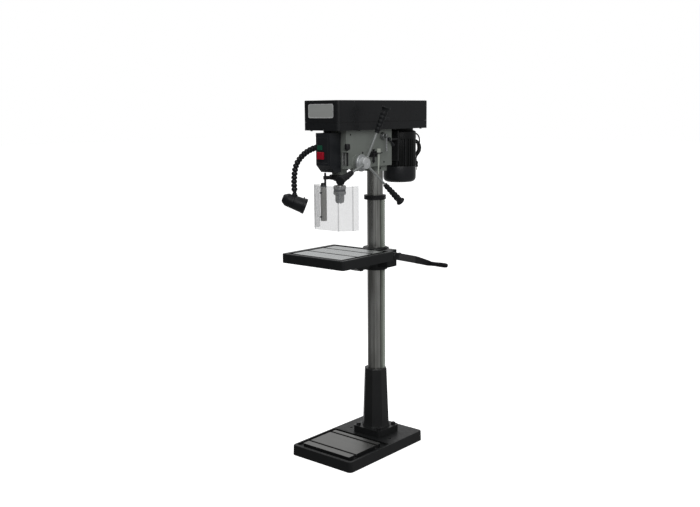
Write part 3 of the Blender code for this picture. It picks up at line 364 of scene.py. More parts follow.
M["tie"] = mk("cord_tie", (0.42, 0.42, 0.40), 0.5, var=0.08, bump=0.2)
M["brass"] = mk("prong_brass", (0.62, 0.55, 0.40), 0.28, 1.0, var=0.06, bump=0.04)
M["mark"] = mk("dial_mark", (0.03, 0.03, 0.03), 0.5, bump=0.05)
M["reflector"] = mk("lamp_reflector", (0.62, 0.63, 0.64), 0.20, 1.0, var=0.04, bump=0.03)


def column_steel():
    """Ground tube: long streaks along the axis, faint rings, a little oil staining."""
    mt, nt, b = nodes_of("column_steel")
    tc = nt.nodes.new("ShaderNodeTexCoord")

    def noise(scale, vec_scale, detail=5):
        mp = nt.nodes.new("ShaderNodeMapping")
        mp.inputs["Scale"].default_value = vec_scale
        nt.links.new(tc.outputs["Object"], mp.inputs["Vector"])
        n = nt.nodes.new("ShaderNodeTexNoise")
        n.inputs["Scale"].default_value = scale
        n.inputs["Detail"].default_value = detail
        nt.links.new(mp.outputs[0], n.inputs["Vector"])
        return n

    streak, stain, ring = noise(95, (1, 1, 0.018)), noise(11, (1, 1, 0.30)), noise(40, (0.1, 0.1, 14), 3)
    cr = nt.nodes.new("ShaderNodeValToRGB")
    cr.color_ramp.elements[0].position, cr.color_ramp.elements[1].position = 0.36, 0.66
    cr.color_ramp.elements[0].color = (0.22, 0.22, 0.205, 1)
    cr.color_ramp.elements[1].color = (0.80, 0.81, 0.78, 1)
    s = nt.nodes.new("ShaderNodeMath")
    s.operation = "ADD"
    h = nt.nodes.new("ShaderNodeMath")
    h.operation = "MULTIPLY"
    h.inputs[1].default_value = 0.5
    nt.links.new(streak.outputs["Fac"], s.inputs[0])
    nt.links.new(stain.outputs["Fac"], s.inputs[1])
    nt.links.new(s.outputs[0], h.inputs[0])
    nt.links.new(h.outputs[0], cr.inputs["Fac"])
    nt.links.new(cr.outputs[0], b.inputs["Base Color"])
    r = nt.nodes.new("ShaderNodeMapRange")
    r.inputs["From Min"].default_value, r.inputs["From Max"].default_value = 0.3, 0.7
    r.inputs["To Min"].default_value, r.inputs["To Max"].default_value = 0.22, 0.40
    nt.links.new(streak.outputs["Fac"], r.inputs["Value"])
    nt.links.new(r.outputs["Result"], b.inputs["Roughness"])
    b.inputs["Metallic"].default_value = 0.9
    bp = nt.nodes.new("ShaderNodeBump")
    bp.inputs["Strength"].default_value = 0.12
    bp.inputs["Distance"].default_value = 0.0004
    nt.links.new(ring.outputs["Fac"], bp.inputs["Height"])
    nt.links.new(bp.outputs[0], b.inputs["Normal"])
    return mt


M["column"] = column_steel()


def clear(name, rgb, alpha, rough):
    mt, nt, b = nodes_of(name)
    b.inputs["Base Color"].default_value = (*rgb, 1)
    b.inputs["Alpha"].default_value = alpha
    b.inputs["Specular IOR Level"].default_value = 0.5
    tc = nt.nodes.new("ShaderNodeTexCoord")
    n = nt.nodes.new("ShaderNodeTexNoise")
    n.inputs["Scale"].default_value = 14
    n.inputs["Detail"].default_value = 6
    nt.links.new(tc.outputs["Object"], n.inputs["Vector"])
    r = nt.nodes.new("ShaderNodeMapRange")
    r.inputs["From Min"].default_value, r.inputs["From Max"].default_value = 0.3, 0.7
    r.inputs["To Min"].default_value, r.inputs["To Max"].default_value = rough * 0.85, rough * 1.2
    nt.links.new(n.outputs["Fac"], r.inputs["Value"])
    nt.links.new(r.outputs["Result"], b.inputs["Roughness"])
    return mt


M["clear"] = clear("clear_shield", (0.46, 0.47, 0.50), 0.25, 0.10)
# darker, less clear copy of the shield plastic for the narrow bend faces: painted shade along the folds
M["clear_bend_shade"] = clear("clear_bend_shade", (0.36, 0.37, 0.40), 0.42, 0.12)
# lighter copy of the shield plastic for the sheet's top, bottom and cut edges: painted highlight
M["clear_edge_highlight"] = clear("clear_edge_highlight", (0.52, 0.54, 0.57), 0.55, 0.15)
M["lens"] = clear("lamp_glass", (0.72, 0.74, 0.74), 0.80, 0.20)

# ------------------------------------------------- the power cord comes first
CORD_D = 0.0070
COIL_C = Vector((-0.0055, 0, 1.5070))
T_OUT, T_IN = 0.0418, 0.0352                     # radii of the outer and inner turns
LAY_Y = (0.3209, 0.3290, 0.3371)                 # the three layers
EXIT = Vector((0.0123, 0.2990, 1.5850))
route = [EXIT, (0.0180, 0.2990, 1.5850)]
for k in range(1, 6):
    t = rad(90 - 18 * k)
    route.append((0.0180 + 0.0290 * math.cos(t), 0.2990 + 0.0022 * k, 1.5560 + 0.0290 * math.sin(t)))
route += [(0.0455, 0.3145, 1.5420), (0.0412, 0.3180, 1.5300), (0.0376, 0.3204, 1.5170)]
track = [(T_OUT, 0), (T_IN, 0), (T_IN, 1), (T_OUT, 1), (T_IN, 2), (T_OUT, 2)]
END = 6 * 360 + 50


def coil_at(deg):
    k = min(5, int(deg // 360))
    r, y = track[k][0], LAY_Y[track[k][1]]
    f = deg - 360 * k
    if k < 5 and f > 270:                        # step across to the next turn on the hidden side
        t = (f - 270) / 90
        t = t * t * (3 - 2 * t)
        r += (track[k + 1][0] - r) * t
        y += (LAY_Y[track[k + 1][1]] - y) * t
    a = -rad(deg)
    return Vector((COIL_C.x + r * math.cos(a), y, COIL_C.z + r * math.sin(a)))


turns = [coil_at(d) for d in range(5, END + 1, 9)]
last = coil_at(END)
tail = [(0.0172, 0.3360, 1.4690), (0.0134, 0.3338, 1.4620), (0.0114, 0.3312, 1.4530), (0.0108, 0.3296, 1.4440),
        (0.0108, 0.3290, 1.4330)]
line = even(catmull(route, 8)[:-1] + turns + catmull([last] + tail, 6)[1:], 0.0060)
cu = bpy.data.curves.new("power_cord", "CURVE")
cu.dimensions = "3D"
sp = cu.splines.new("POLY")
sp.points.add(len(line) - 1)
for p, q in zip(sp.points, line):
    p.co = (*q, 1)
cu.bevel_depth = CORD_D / 2
cu.bevel_resolution = 4
cu.use_fill_caps = True
cu.materials.append(M["cord"])
cord = bpy.data.objects.new("power_cord", cu)
scene.collection.objects.link(cord)
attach(cord, "motor")
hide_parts("cord_lead", "cord_coil")

# gland with a tapered, ribbed strain relief over the cord's first 30 mm
prof = [(0.0052, -0.0300), (0.0052, -0.0197), (0.0098, -0.0197), (0.0102, -0.0190), (0.0102, -0.0140), (0.0096, -0.0134),
        (0.0088, -0.0130)]
x = -0.0122
while x < 0.0105:
    r = 0.0086 - (x + 0.0122) * 0.115
    prof += [(r, x), (r, x + 0.0014), (r - 0.0010, x + 0.0017), (r - 0.0010, x + 0.0026)]
    x += 0.0029
prof += [(0.0046, 0.0119), (0.0036, 0.0119)]
gland = piece("strain_relief", lathe(prof, 32, "X", (0, EXIT.y, EXIT.z)), M["cord"], "motor", "cord_gland",
              smooth=40)
# moulded plug: relief sleeve, waisted body, face plate and two blades with a round earth pin
pm = lathe([(0.0037, 1.4622), (0.0044, 1.4618), (0.0046, 1.4580), (0.0040, 1.4574), (0.0040, 1.4558), (0.0049, 1.4552),
            (0.0050, 1.4520), (0.0044, 1.4514), (0.0044, 1.4498), (0.0053, 1.4492), (0.0055, 1.4440), (0.0064, 1.4395),
            (0.0106, 1.4362), (0.0122, 1.4330), (0.0126, 1.4290), (0.0112, 1.4230), (0.0112, 1.4180), (0.0126, 1.4130),
            (0.0126, 1.4086), (0.0118, 1.4078), (0, 1.4078)], 36, at=(0.0108, 0.3290, 0))
plug = piece("plug_body", pm, M["cord"], "motor", "power_plug", smooth=45)
pb = bmesh.new()
for sx in (-1, 1):
    pillow(0.0108 + sx * 0.0063 - 0.0008, 0.3262, 0.0108 + sx * 0.0063 + 0.0008, 0.3322, 0.0005,
           ((1.4085, 0), (1.3912, 0), (1.3903, 0.0004)), "Z", pb)
lathe([(0.0023, 1.4085), (0.0023, 1.3935), (0.0014, 1.3915), (0, 1.3910)], 16, at=(0.0108, 0.3222, 0), bm=pb)
blades = piece("plug_blades", pb, M["brass"], "motor")
# two ties round the coil, the upper one through an eye on the terminal box
tb = bmesh.new()
for deg, w in ((118, 0.0048), (250, 0.0042)):
    a = rad(deg)
    c = COIL_C + Vector((math.cos(a), 0, math.sin(a))) * 0.0385
    u, v = Vector((math.cos(a), 0, math.sin(a))), Vector((0, 1, 0))
    n = u.cross(v)
    c.y = 0.3290
    rings = []
    for q in range(33):
        t = 2 * PI * q / 32
        ct, st = math.cos(t), math.sin(t)
        e = (abs(ct) ** 5 + abs(st) ** 5) ** (-0.2)
        p = c + u * (ct * e * 0.0080) + v * (st * e * 0.0121)
        o2 = (u * ct + v * st).normalized() * 0.0008
        rings.append([p - n * w / 2, p - n * w / 2 + o2, p + n * w / 2 + o2, p + n * w / 2])
    loft(tb, rings[:-1] + [rings[0]], close=False)
box(-0.0290, 0.3117, 1.5400, -0.0200, 0.3168, 1.5480, tb)
piece("cord_ties", tb, M["tie"], "motor", smooth=40)

# ---------------------------------------------------------- base, foot, bolts
PAD_TOP, BASE_TOP, TABLE_TOP = 0.0620, 0.0518, 1.0272


def pick_base(c, n):
    if n.z > 0.9 and c.z > PAD_TOP - 0.0008:
        return 1
    if 0.0420 < c.z < PAD_TOP and abs(c.x) < 0.160 and (abs(c.y + 0.345) < 0.0125 or abs(c.y + 0.182) < 0.0125):
        return 2
    return 0


cad("base", M["cast"], 0.0014, 3, pick=pick_base, mats=(M["pad"], M["slot_steel"]))
cad("column_foot", M["cast_foot"], 0.0018, 3, angle=20)
for i, (sx, sy) in enumerate(((-1, -1), (-1, 1), (1, -1), (1, 1))):
    at = (sx * 0.067, sy * 0.060, 0)
    bm = lathe([(0.0120, 0.0864), (0.0122, 0.0868), (0.0122, 0.0882), (0.0116, 0.0888), (0.0060, 0.0888)], 36, at=at)
    hexmod = lambda k, j: 1.0 / math.cos(((j * 10 + 30) % 60 - 30) * PI / 180)
    hx = lathe([(0.0092, 0.0886), (0.0095, 0.0890), (0.0095, 0.0960), (0.0084, 0.0970), (0, 0.0970)], 36, at=at,
               mod=lambda k, j: 1.0 if k == 3 else hexmod(k, j))
    merge(bm, hx)
    sh = lathe([(0.0058, 0.0445), (0.0060, 0.0450), (0.0060, 0.0880), (0, 0.0880)], 20, at=at)
    merge(bm, sh)
    piece("foot_bolt_head_%d" % (i + 1), bm, M["blackoxide"], "frame", "foot_bolt_%d" % (i + 1), smooth=28)

# ------------------------------------------------------------- column and rack
piece("column_tube", lathe([(0.0392, 0.0525), (0.0400, 0.0533), (0.0400, 1.5990), (0.0392, 1.6000), (0.0346, 1.6000),
                            (0.0340, 1.5994), (0.0340, 0.0530), (0.0345, 0.0525)], 96, ring=True),
      M["column"], "frame", "column", smooth=30)
cad("rack", M["rack"], 0.0004, 1, angle=25)
bm = lathe([(0.0541, 1.2632), (0.0550, 1.2641), (0.0550, 1.2843), (0.0541, 1.2852), (0.0411, 1.2852), (0.0404, 1.2845),
            (0.0404, 1.2639), (0.0411, 1.2632)], 72, ring=True)
piece("rack_ring", bm, M["black"], "frame", "rack_collar", smooth=30)


def socket_screw(name, c, d, r, h, body, mat=None):
    """Cap screw with a hexagon socket, its head standing h proud of c along d."""
    s = lathe([(r, -0.0010), (r, h * 0.82), (r * 0.88, h), (r * 0.52, h), (r * 0.50, h * 0.35), (0, h * 0.35)], 24)
    aim(s, c, d)
    return piece(name, s, mat or M["blackoxide"], body, smooth=30)


d = Vector((math.cos(rad(-72)), math.sin(rad(-72)), 0))
socket_screw("ring_screw", Vector((0, 0, 1.2742)) + d * 0.0550, d, 0.0040, 0.0014, "frame")
d = Vector((math.cos(rad(-25)), math.sin(rad(-25)), 0))
socket_screw("collar_screw", Vector((0, 0, 1.4200)) + d * 0.0600, d, 0.0044, 0.0016, "frame")

# ------------------------------------------------------------------------ head
cad("head_casting", M["head"], 0.0016, 3, angle=30)
bm = lathe([(0.0050, 0.0728), (0.0050, 0.0740), (0.0043, 0.0744), (0.0030, 0.0744), (0.0028, 0.0731), (0, 0.0731)], 24, "X",
           (0, -0.183, 1.503))
piece("oil_hole", bm, M["blackoxide"], "frame", smooth=30)
for k, (y, z) in enumerate(((-0.272, 1.590), (-0.020, 1.4520))):
    socket_screw("head_screw_%d" % k, Vector((0.0729, y, z)), (1, 0, 0), 0.0038, 0.0022, "frame")
# quill with its rack groove, spindle
cad("quill", M["steel"], 0.0003, 1)
cad("spindle", M["steel"])
QY = -0.2685


def knurl(amount, rows):
    return lambda k, i: 1.0 + (amount if i % 2 else 0.0) if k in rows else 1.0


bm = lathe([(0.0165, 1.3517), (0.0172, 1.3515), (0.0205, 1.3484), (0.0205, 1.3062), (0.0212, 1.3045), (0.0216, 1.3030),
            (0.0216, 1.2960), (0.0211, 1.2952), (0.0211, 1.2938), (0.0216, 1.2930), (0.0216, 1.2765), (0.0210, 1.2745),
            (0.0186, 1.2680), (0.0180, 1.2674), (0.0112, 1.2674), (0.0106, 1.2680), (0.0085, 1.3000), (0.0085, 1.3300),
            (0.0122, 1.3300), (0.0122, 1.3517)], 64, at=(0, QY, 0), ring=True)
piece("chuck_shell", bm, M["steel_light"], "spindle", "chuck_body", smooth=25)
bm = bmesh.new()
for k in range(3):                                   # the three jaws, in their slanted ways
    a = 2 * PI * k / 3 + 0.35
    j = pillow(-0.0027, -0.0020, 0.0027, 0.0042, 0.0010, ((1.2630, 0.0008), (1.2640, 0), (1.2960, 0), (1.2966, 0.0005)), "Z")
    bmesh.ops.rotate(j, verts=j.verts, cent=(0, 0, 1.28), matrix=Matrix.Rotation(rad(10), 3, "X"))
    bmesh.ops.translate(j, verts=j.verts, vec=(0, 0.0046, 0))
    bmesh.ops.rotate(j, verts=j.verts, cent=(0, 0, 0), matrix=Matrix.Rotation(a, 3, "Z"))
    bmesh.ops.translate(j, verts=j.verts, vec=(0, QY, 0))
    merge(bm, j)
piece("chuck_jaws", bm, M["jaw"], "spindle", smooth=30)
prof = [(0.0262, 1.3510), (0.0272, 1.3506), (0.0295, 1.3480), (0.0300, 1.3468)]
knurled = []
z = 1.3462
while z > 1.3330:
    knurled.append(len(prof))
    prof.append((0.0296, z))
    z -= 0.0011
prof += [(0.0300, z), (0.0298, z - 0.0006), (0.0284, z - 0.0012), (0.0284, z - 0.0108), (0.0298, z - 0.0114),
         (0.0300, z - 0.0120)]
z -= 0.0126
while z > 1.3110:
    knurled.append(len(prof))
    prof.append((0.0296, z))
    z -= 0.0011
prof += [(0.0300, 1.3100), (0.0292, 1.3080), (0.0272, 1.3057), (0.0220, 1.3060), (0.0212, 1.3066), (0.0209, 1.3505)]
rows = {k: n for n, k in enumerate(knurled)}
bm = lathe(prof, 120, at=(0, QY, 0), ring=True,
           mod=lambda k, i: 1.0 + (0.016 if (i + rows[k]) % 2 else 0.0) if k in rows else 1.0)
ring = piece("chuck_ring_knurled", bm, [M["steel_light"], M["steel_dark"]], "chuck_ring", "chuck_sleeve", smooth=22)
for p in ring.data.polygons:
    if 1.3215 < p.center.z < 1.3325 or p.center.z < 1.3080:
        p.material_index = 1

# ------------------------------------------------- feed hub, dial, handwheel
PY, PZ = -0.2285, 1.4575
bm = lathe([(0, -0.0790), (0.0100, -0.0790), (0.0108, -0.0782), (0.0106, -0.0190), (0.0125, -0.0190), (0.0125, 0.0190),
            (0.0108, 0.0190), (0.0108, 0.1106), (0.0272, 0.1106), (0.0280, 0.1114), (0.0280, 0.1326), (0.0277, 0.1345),
            (0.0262, 0.1366), (0.0230, 0.1375), (0.0072, 0.1375), (0.0066, 0.1368), (0.0062, 0.1362), (0, 0.1362)], 64, "X",
           (0, PY, PZ))
piece("feed_boss", bm, M["silver"], "feed", "feed_hub", smooth=30)
bm = lathe([(0.0398, 0.0990), (0.0403, 0.0996), (0.0403, 0.1062), (0.0398, 0.1072), (0.0372, 0.1100), (0.0362, 0.1103),
            (0.0114, 0.1103), (0.0112, 0.1100), (0.0112, 0.0994), (0.0116, 0.0990)], 96, "X", (0, PY, PZ), ring=True)
piece("depth_ring", bm, M["dial"], "feed", "depth_dial", smooth=25)
bm = bmesh.new()
for k in range(72):                                  # graduations round the dial's rim
    a = 2 * PI * k / 72
    L = 0.0062 if k % 12 == 0 else 0.0046 if k % 6 == 0 else 0.0030
    q = box(0.0992, -0.00022, 0.0401, 0.0992 + L, 0.00022, 0.0405)
    bmesh.ops.rotate(q, verts=q.verts, cent=(0, 0, 0), matrix=Matrix.Rotation(a, 3, "X"))
    bmesh.ops.translate(q, verts=q.verts, vec=(0, PY, PZ))
    merge(bm, q)
piece("dial_marks", bm, M["mark"], "feed", smooth=0)
# depth scale lock screw on the rim of the fixed boss
socket_screw("dial_lock", Vector((0.0905, PY, PZ + 0.0368)), (0, 0, 1), 0.0030, 0.0040, "frame")
HUB = Vector((0.1260, PY, PZ))
TILT, PHI, TIP, G0 = rad(14.3), rad(16.0), 0.2780, 0.1510
L = TIP - G0
for i in range(3):
    a = PHI + i * 2 * PI / 3
    d = Vector((math.sin(TILT), math.cos(TILT) * math.sin(a), math.cos(TILT) * math.cos(a)))
    s = lathe([(0.0040, 0.0165), (0.0050, 0.0175), (0.0055, 0.0260), (0.0055, 0.1500), (0.0050, 0.1520), (0.0050, 0.2400),
               (0, 0.2405)], 32)
    aim(s, HUB, d)
    # jam nut at the hub
    hexf = lambda k, j: 1.0 / math.cos(((j * 10 + 30) % 60 - 30) * PI / 180)
    nut = lathe([(0.0058, 0.0272), (0.0078, 0.0276), (0.0080, 0.0282), (0.0080, 0.0318), (0.0078, 0.0324), (0.0058, 0.0328)],
                36, mod=lambda k, j: hexf(k, j) if k in (2, 3) else 1.0)
    aim(nut, HUB, d)
    merge(s, nut)
    piece("spoke_rod_%d" % (i + 1), s, M["spoke"], "feed", "feed_spoke_%d" % (i + 1), smooth=28)
    g = [(0.0062, 0.0), (0.0104, 0.0), (0.0113, 0.0010), (0.0116, 0.0040)]
    h = 0.0090
    while h < L - 0.032:                             # soft ridges, swelling towards the end
        r = 0.0110 + 0.0052 * (h / L)
        g += [(r - 0.0012, h), (r + 0.0010, h + 0.0034), (r + 0.0020, h + 0.0078), (r + 0.0016, h + 0.0122), (r - 0.0006, h + 0.0172)]
        h += 0.0192
    g += [(0.0158, L - 0.0130), (0.0176, L - 0.0098), (0.0206, L - 0.0068), (0.0216, L - 0.0052), (0.0218, L - 0.0036),
          (0.0214, L - 0.0016), (0.0200, L - 0.0004), (0.0090, L), (0, L - 0.0003)]
    gb = lathe([(0, 0.0950), (0.0062, 0.0950)] + g, 48)
    bmesh.ops.translate(gb, verts=gb.verts, vec=(0, 0, G0))
    aim(gb, HUB, d)
    piece("grip_%d" % (i + 1), gb, M["rubber"], "feed", "feed_grip_%d" % (i + 1), smooth=50)
# return spring housing: notched rim
bm = lathe([(0, -0.1080), (0.0080, -0.1080), (0.0082, -0.1064), (0.0200, -0.1064), (0.0205, -0.1080), (0.0296, -0.1080),
            (0.0322, -0.1062), (0.0330, -0.1046), (0.0330, -0.0838), (0.0326, -0.0834), (0, -0.0834)], 72, "X", (0, PY, PZ),
           mod=lambda k, i: 0.955 if k in (6, 7, 8, 9) and i % 18 < 2 else 1.0)
piece("spring_cap", bm, M["silver"], "frame", "return_spring_cap", smooth=30)

# ------------------------------------------------------------------ belt guard
cad("belt_guard_pan", M["guard"], 0.0008, 2, angle=30)
cad("belt_guard_lid", M["guard"], 0.0012, 3, angle=30)
cad("lid_latch", M["plastic"], 0.0006, 2)
for k, (x, y) in enumerate(((-0.094, -0.358), (0.078, -0.358), (0.080, -0.216), (-0.096, -0.216), (0.080, 0.060), (-0.096, 0.060),
                            (0.076, 0.280), (-0.092, 0.280))):
    hx = lathe([(0.0046, 1.6112), (0.0050, 1.6106), (0.0050, 1.6080), (0.0042, 1.6070), (0, 1.6070)], 36, at=(x, y, 0),
               mod=lambda k2, j: 1.0 / math.cos(((j * 10 + 30) % 60 - 30) * PI / 180) if k2 in (1, 2) else 1.0)
    piece("pan_screw_%d" % k, hx, M["blackoxide"], "frame", smooth=25)
# dark strip along the pan's top edge, standing 0.3 mm proud: painted shade for the seam gap under the lid
arc = [(0.0797 + math.cos(rad(270 + 15 * i)) * 1.0, -0.3640 + math.sin(rad(270 + 15 * i)) * 1.0) for i in range(7)]
edge = [(-0.1090, -0.3844)] + [(0.0797 + (x - 0.0797) * 0.0204, -0.3640 + (y + 0.3640) * 0.0204) for x, y in arc] + [(0.1001, 0.2970)]
back = [(-0.1090, -0.3836)] + [(0.0797 + (x - 0.0797) * 0.0196, -0.3640 + (y + 0.3640) * 0.0196) for x, y in arc] + [(0.0993, 0.2970)]
piece("pan_seam_shade", prism(edge + back[::-1], 1.6474, 1.6491), M["painted_shade_dark"], "frame", smooth=30)
# silver plate with a raised border and four rivets, no lettering
bm = pillow(-0.0880, 1.6680, 0.0670, 1.7330, 0.0090, ((-0.3843, 0.0), (-0.3856, 0.0), (-0.3860, 0.0005), (-0.3860, 0.0030),
                                                       (-0.3854, 0.0036)), "Y")
plate = piece("front_plate", bm, [M["plate_rim"], M["plate"]], "lid", "nameplate", smooth=30)
for p in plate.data.polygons:
    if p.normal.y < -0.9 and p.area > 0.001:
        p.material_index = 1
bm = bmesh.new()
for x in (-0.0815, 0.0605):
    for z in (1.6745, 1.7265):
        lathe([(0.0016, -0.3852), (0.0016, -0.3860), (0.0009, -0.3864), (0, -0.3864)], 16, "Y", (x, 0, z), bm=bm)
piece("plate_rivets", bm, M["plate_rim"], "lid", smooth=50)
for n in ("spindle_pulley", "idler_pulley", "motor_pulley"):
    cad(n, M["pulley"])
cad("front_belt", M["belt"])
cad("rear_belt", M["belt"])

# ----------------------------------------------------------------------- motor
MY = 0.2027
bm = bmesh.new()
prof = []
fins = 30
for i in range(fins):
    for f, r in ((0.0, 0.0775), (0.30, 0.0775), (0.36, 0.0779), (0.42, 0.0828), (0.47, 0.0838), (0.65, 0.0840), (0.83, 0.0838),
                 (0.88, 0.0828), (0.94, 0.0779)):
        a = 2 * PI * (i + f) / fins
        prof.append((r * math.cos(a), MY + r * math.sin(a)))
mid = []
rings = []
for z, k in ((1.4205, 0.965), (1.4215, 0.985), (1.4240, 1.0), (1.5560, 1.0), (1.5580, 0.995)):
    rings.append([(x * k, MY + (y - MY) * k, z) for x, y in prof])
loft(bm, rings)
# upper end bell
eb = lathe([(0.0770, 1.5570), (0.0832, 1.5580), (0.0840, 1.5592), (0.0840, 1.5900), (0.0830, 1.5935), (0.0780, 1.5975),
            (0.0700, 1.6000), (0.0690, 1.6092), (0.0680, 1.6100), (0.0300, 1.6100), (0.0290, 1.6040), (0.0130, 1.6040), (0.0125, 1.5700)], 72, at=(0, MY, 0))
merge(bm, eb)
# terminal box on the back
tb = pillow(-0.0560, 1.5450, -0.0200, 1.6020, 0.0040, ((0.2700, 0), (0.3070, 0), (0.3071, 0.0006), (0.3080, 0.0006),
                                                       (0.3081, 0), (0.3108, 0), (0.3120, 0.0012)), "Y")
merge(bm, tb)
motor = piece("motor_case", bm, M["motor"], "motor", "motor_body", smooth=32)
bm = bmesh.new()
for deg in (-148, -62, -32, 28, 118, 152):           # through bolts lying in the fins
    a = rad(deg)
    lathe([(0.0030, 1.4250), (0.0030, 1.5900), (0, 1.5900)], 14, at=(0.0805 * math.cos(a), MY + 0.0805 * math.sin(a), 0), bm=bm)
piece("through_bolts", bm, M["blackoxide"], "motor", smooth=40)
prof = [(0, 1.3400), (0.0120, 1.3376), (0.0540, 1.3376), (0.0640, 1.3386), (0.0720, 1.3416), (0.0782, 1.3466), (0.0822, 1.3536),
        (0.0840, 1.3630), (0.0840, 1.4180), (0.0834, 1.4200), (0.0822, 1.4200), (0.0820, 1.3640), (0.0760, 1.3480),
        (0.0640, 1.3410), (0, 1.3402)]
bm = lathe([(max(r, 0) if r else 0, z) for r, z in prof], 96, at=(0, MY, 0))
fan = piece("fan_shroud", bm, M["fan"], "motor", "fan_cover", smooth=30)
bm = bmesh.new()
for ring_r, count, l in ((0.020, 12, 0.010), (0.034, 20, 0.010), (0.047, 28, 0.010)):   # air slots in the end, drawn as dark patches on the surface: painted shade for the openings
    for k in range(count):
        a = 2 * PI * k / count
        q = pillow(ring_r - l / 2, -0.0016, ring_r + l / 2, 0.0016, 0.0015, ((1.3370, 0), (1.3380, 0)), "Z")
        bmesh.ops.rotate(q, verts=q.verts, cent=(0, 0, 0), matrix=Matrix.Rotation(a, 3, "Z"))
        bmesh.ops.translate(q, verts=q.verts, vec=(0, MY, 0))
        merge(bm, q)
piece("fan_slot_shade", bm, M["painted_shade_dark"], "motor", smooth=0)
cad("motor_mount", M["black"], 0.0010, 2)
# belt tension lever: stepped boss and a drooping chrome rod; lock handle beside it
ly, lz = -0.0330, 1.5780
bm = lathe([(0, 0.0733), (0.0185, 0.0733), (0.0187, 0.0740), (0.0187, 0.0780), (0.0180, 0.0792), (0.0152, 0.0830),
            (0.0150, 0.0876), (0.0144, 0.0882), (0.0104, 0.0900), (0.0100, 0.0906), (0.0100, 0.1034), (0.0094, 0.1046),
            (0.0080, 0.1056), (0.0040, 0.1060), (0, 0.1060)], 56, "X", (0, ly, lz))
piece("tension_boss", bm, M["disc"], "tension", smooth=35)
bm = bmesh.new()
rod = lathe([(0.0050, 0.0), (0.0046, 0.012), (0.0044, 0.040), (0.0050, 0.052), (0.0057, 0.061), (0.0056, 0.066), (0.0048, 0.069),
             (0.0030, 0.0704), (0, 0.0706)], 32)
aim(rod, (0.0985, ly, 1.5760), (0, 0, -1))
merge(bm, rod)
piece("tension_handle", bm, M["chrome"], "tension", "tension_lever", smooth=35)
bm = lathe([(0, 0.0733), (0.0086, 0.0733), (0.0090, 0.0738), (0.0090, 0.0852), (0.0084, 0.0868), (0.0070, 0.0880),
            (0, 0.0882)], 32, "X", (0, 0.0120, 1.5620))
kb = lathe([(0.0058, 0.0), (0.0046, 0.010), (0.0045, 0.022), (0.0062, 0.034), (0.0074, 0.042), (0.0070, 0.047), (0.0048, 0.0495),
            (0, 0.0502)], 28)
aim(kb, (0.0815, 0.0120, 1.5620), (0, 0.74, -0.67))
merge(bm, kb)
piece("lock_handle", bm, M["plastic"], "motor_lock", "motor_lock_handle", smooth=35)

# ------------------------------------------------------------------ switch box
Y0 = -0.3850
cad("switch_box", M["plastic"], 0.0022, 3, angle=30)
bm = pillow(-0.0372, 1.4603, 0.0322, 1.5787, 0.0045, ((Y0 + 0.0021, 0.0), (Y0 + 0.0006, 0.0), (Y0 + 0.0002, 0.0006),
                                                      (Y0 + 0.0002, 0.0014), (Y0 + 0.0012, 0.0022)), "Y")
# the raised frame line round the panel only: its middle is left open
bmesh.ops.delete(bm, geom=[f for f in bm.faces if f.calc_area() > 0.002], context="FACES_ONLY")
piece("switch_frame", bm, M["trim"], "frame", smooth=30)
for k, (x, z) in enumerate(((-0.0385, 1.5915), (0.0385, 1.5915), (-0.0385, 1.4500 + 0.0030), (0.0385, 1.4530))):
    bm = lathe([(0.0030, Y0 + 0.0003), (0.0030, Y0 - 0.0006), (0.0022, Y0 - 0.0011), (0, Y0 - 0.0012)], 20, "Y", (x, 0, z))
    piece("switch_screw_%d" % k, bm, M["blackoxide"], "frame", smooth=40)
bm = pillow(-0.0358, 1.5204, -0.0044, 1.5426, 0.0022, ((Y0 + 0.0060, 0), (Y0 - 0.0002, 0), (Y0 - 0.0010, 0.0004),
                                                        (Y0 - 0.0015, 0.0014), (Y0 - 0.0012, 0.0060)), "Y")
piece("start_key", bm, M["green"], "start", "start_button", smooth=35)
bm = pillow(-0.0358, 1.4779, 0.0051, 1.5121, 0.0024, ((Y0 + 0.0060, 0), (Y0 - 0.0044, 0), (Y0 - 0.0054, 0.0006),
                                                       (Y0 - 0.0060, 0.0018), (Y0 - 0.0055, 0.0070)), "Y")
piece("stop_paddle", bm, M["red"], "stop", "stop_button", smooth=35)

# -------------------------------------------------------------------- work lamp
LP = Vector((-0.1720, -0.4000, 1.3230))
neck = catmull([(-0.0370, -0.3600, 1.5320), (-0.0550, -0.3600, 1.5320), (-0.0780, -0.3610, 1.5280), (-0.1060, -0.3650, 1.5168),
                (-0.1342, -0.3700, 1.4998), (-0.1561, -0.3750, 1.4781), (-0.1717, -0.3800, 1.4564), (-0.1800, -0.3850, 1.4278),
                (-0.1810, -0.3900, 1.3946), (-0.1790, -0.3950, 1.3566), tuple(LP)], 12)
beads = even(neck, 0.0192)
bm = bmesh.new()
sweep(even(neck, 0.004), [0.0085] * len(even(neck, 0.004)), 16, bm)
for i in range(len(beads) - 1):                      # interlocking ball-and-socket links
    a, b = beads[i], beads[i + 1]
    d = (b - a).normalized()
    if i == 0:
        continue
    s = lathe([(0.0086, -0.0090), (0.0104, -0.0086), (0.0132, -0.0058), (0.0147, -0.0022), (0.0151, 0.0014), (0.0144, 0.0048),
               (0.0124, 0.0070), (0.0112, 0.0074), (0.0106, 0.0084), (0.0092, 0.0094)], 28)
    aim(s, (a + b) / 2, d)
    merge(bm, s)
s = lathe([(0, -0.0085), (0.0070, -0.0075), (0.0098, -0.0040), (0.0104, 0.0), (0.0098, 0.0040), (0.0088, 0.0060)], 24)
aim(s, LP, Vector((0, 0, 1)))
merge(bm, s)
piece("lamp_arm_links", bm, M["lamp"], "lamp_arm", "lamp_neck", smooth=38)
LD = Vector((math.cos(rad(38)) * math.cos(rad(21)), math.sin(rad(38)) * math.cos(rad(21)), -math.sin(rad(21))))
LC = Vector((-0.1700, -0.4000, 1.2680))
prof = [(0, -0.0640), (0.0130, -0.0640), (0.0156, -0.0636), (0.0208, -0.0598), (0.0300, -0.0442), (0.0318, -0.0400)]
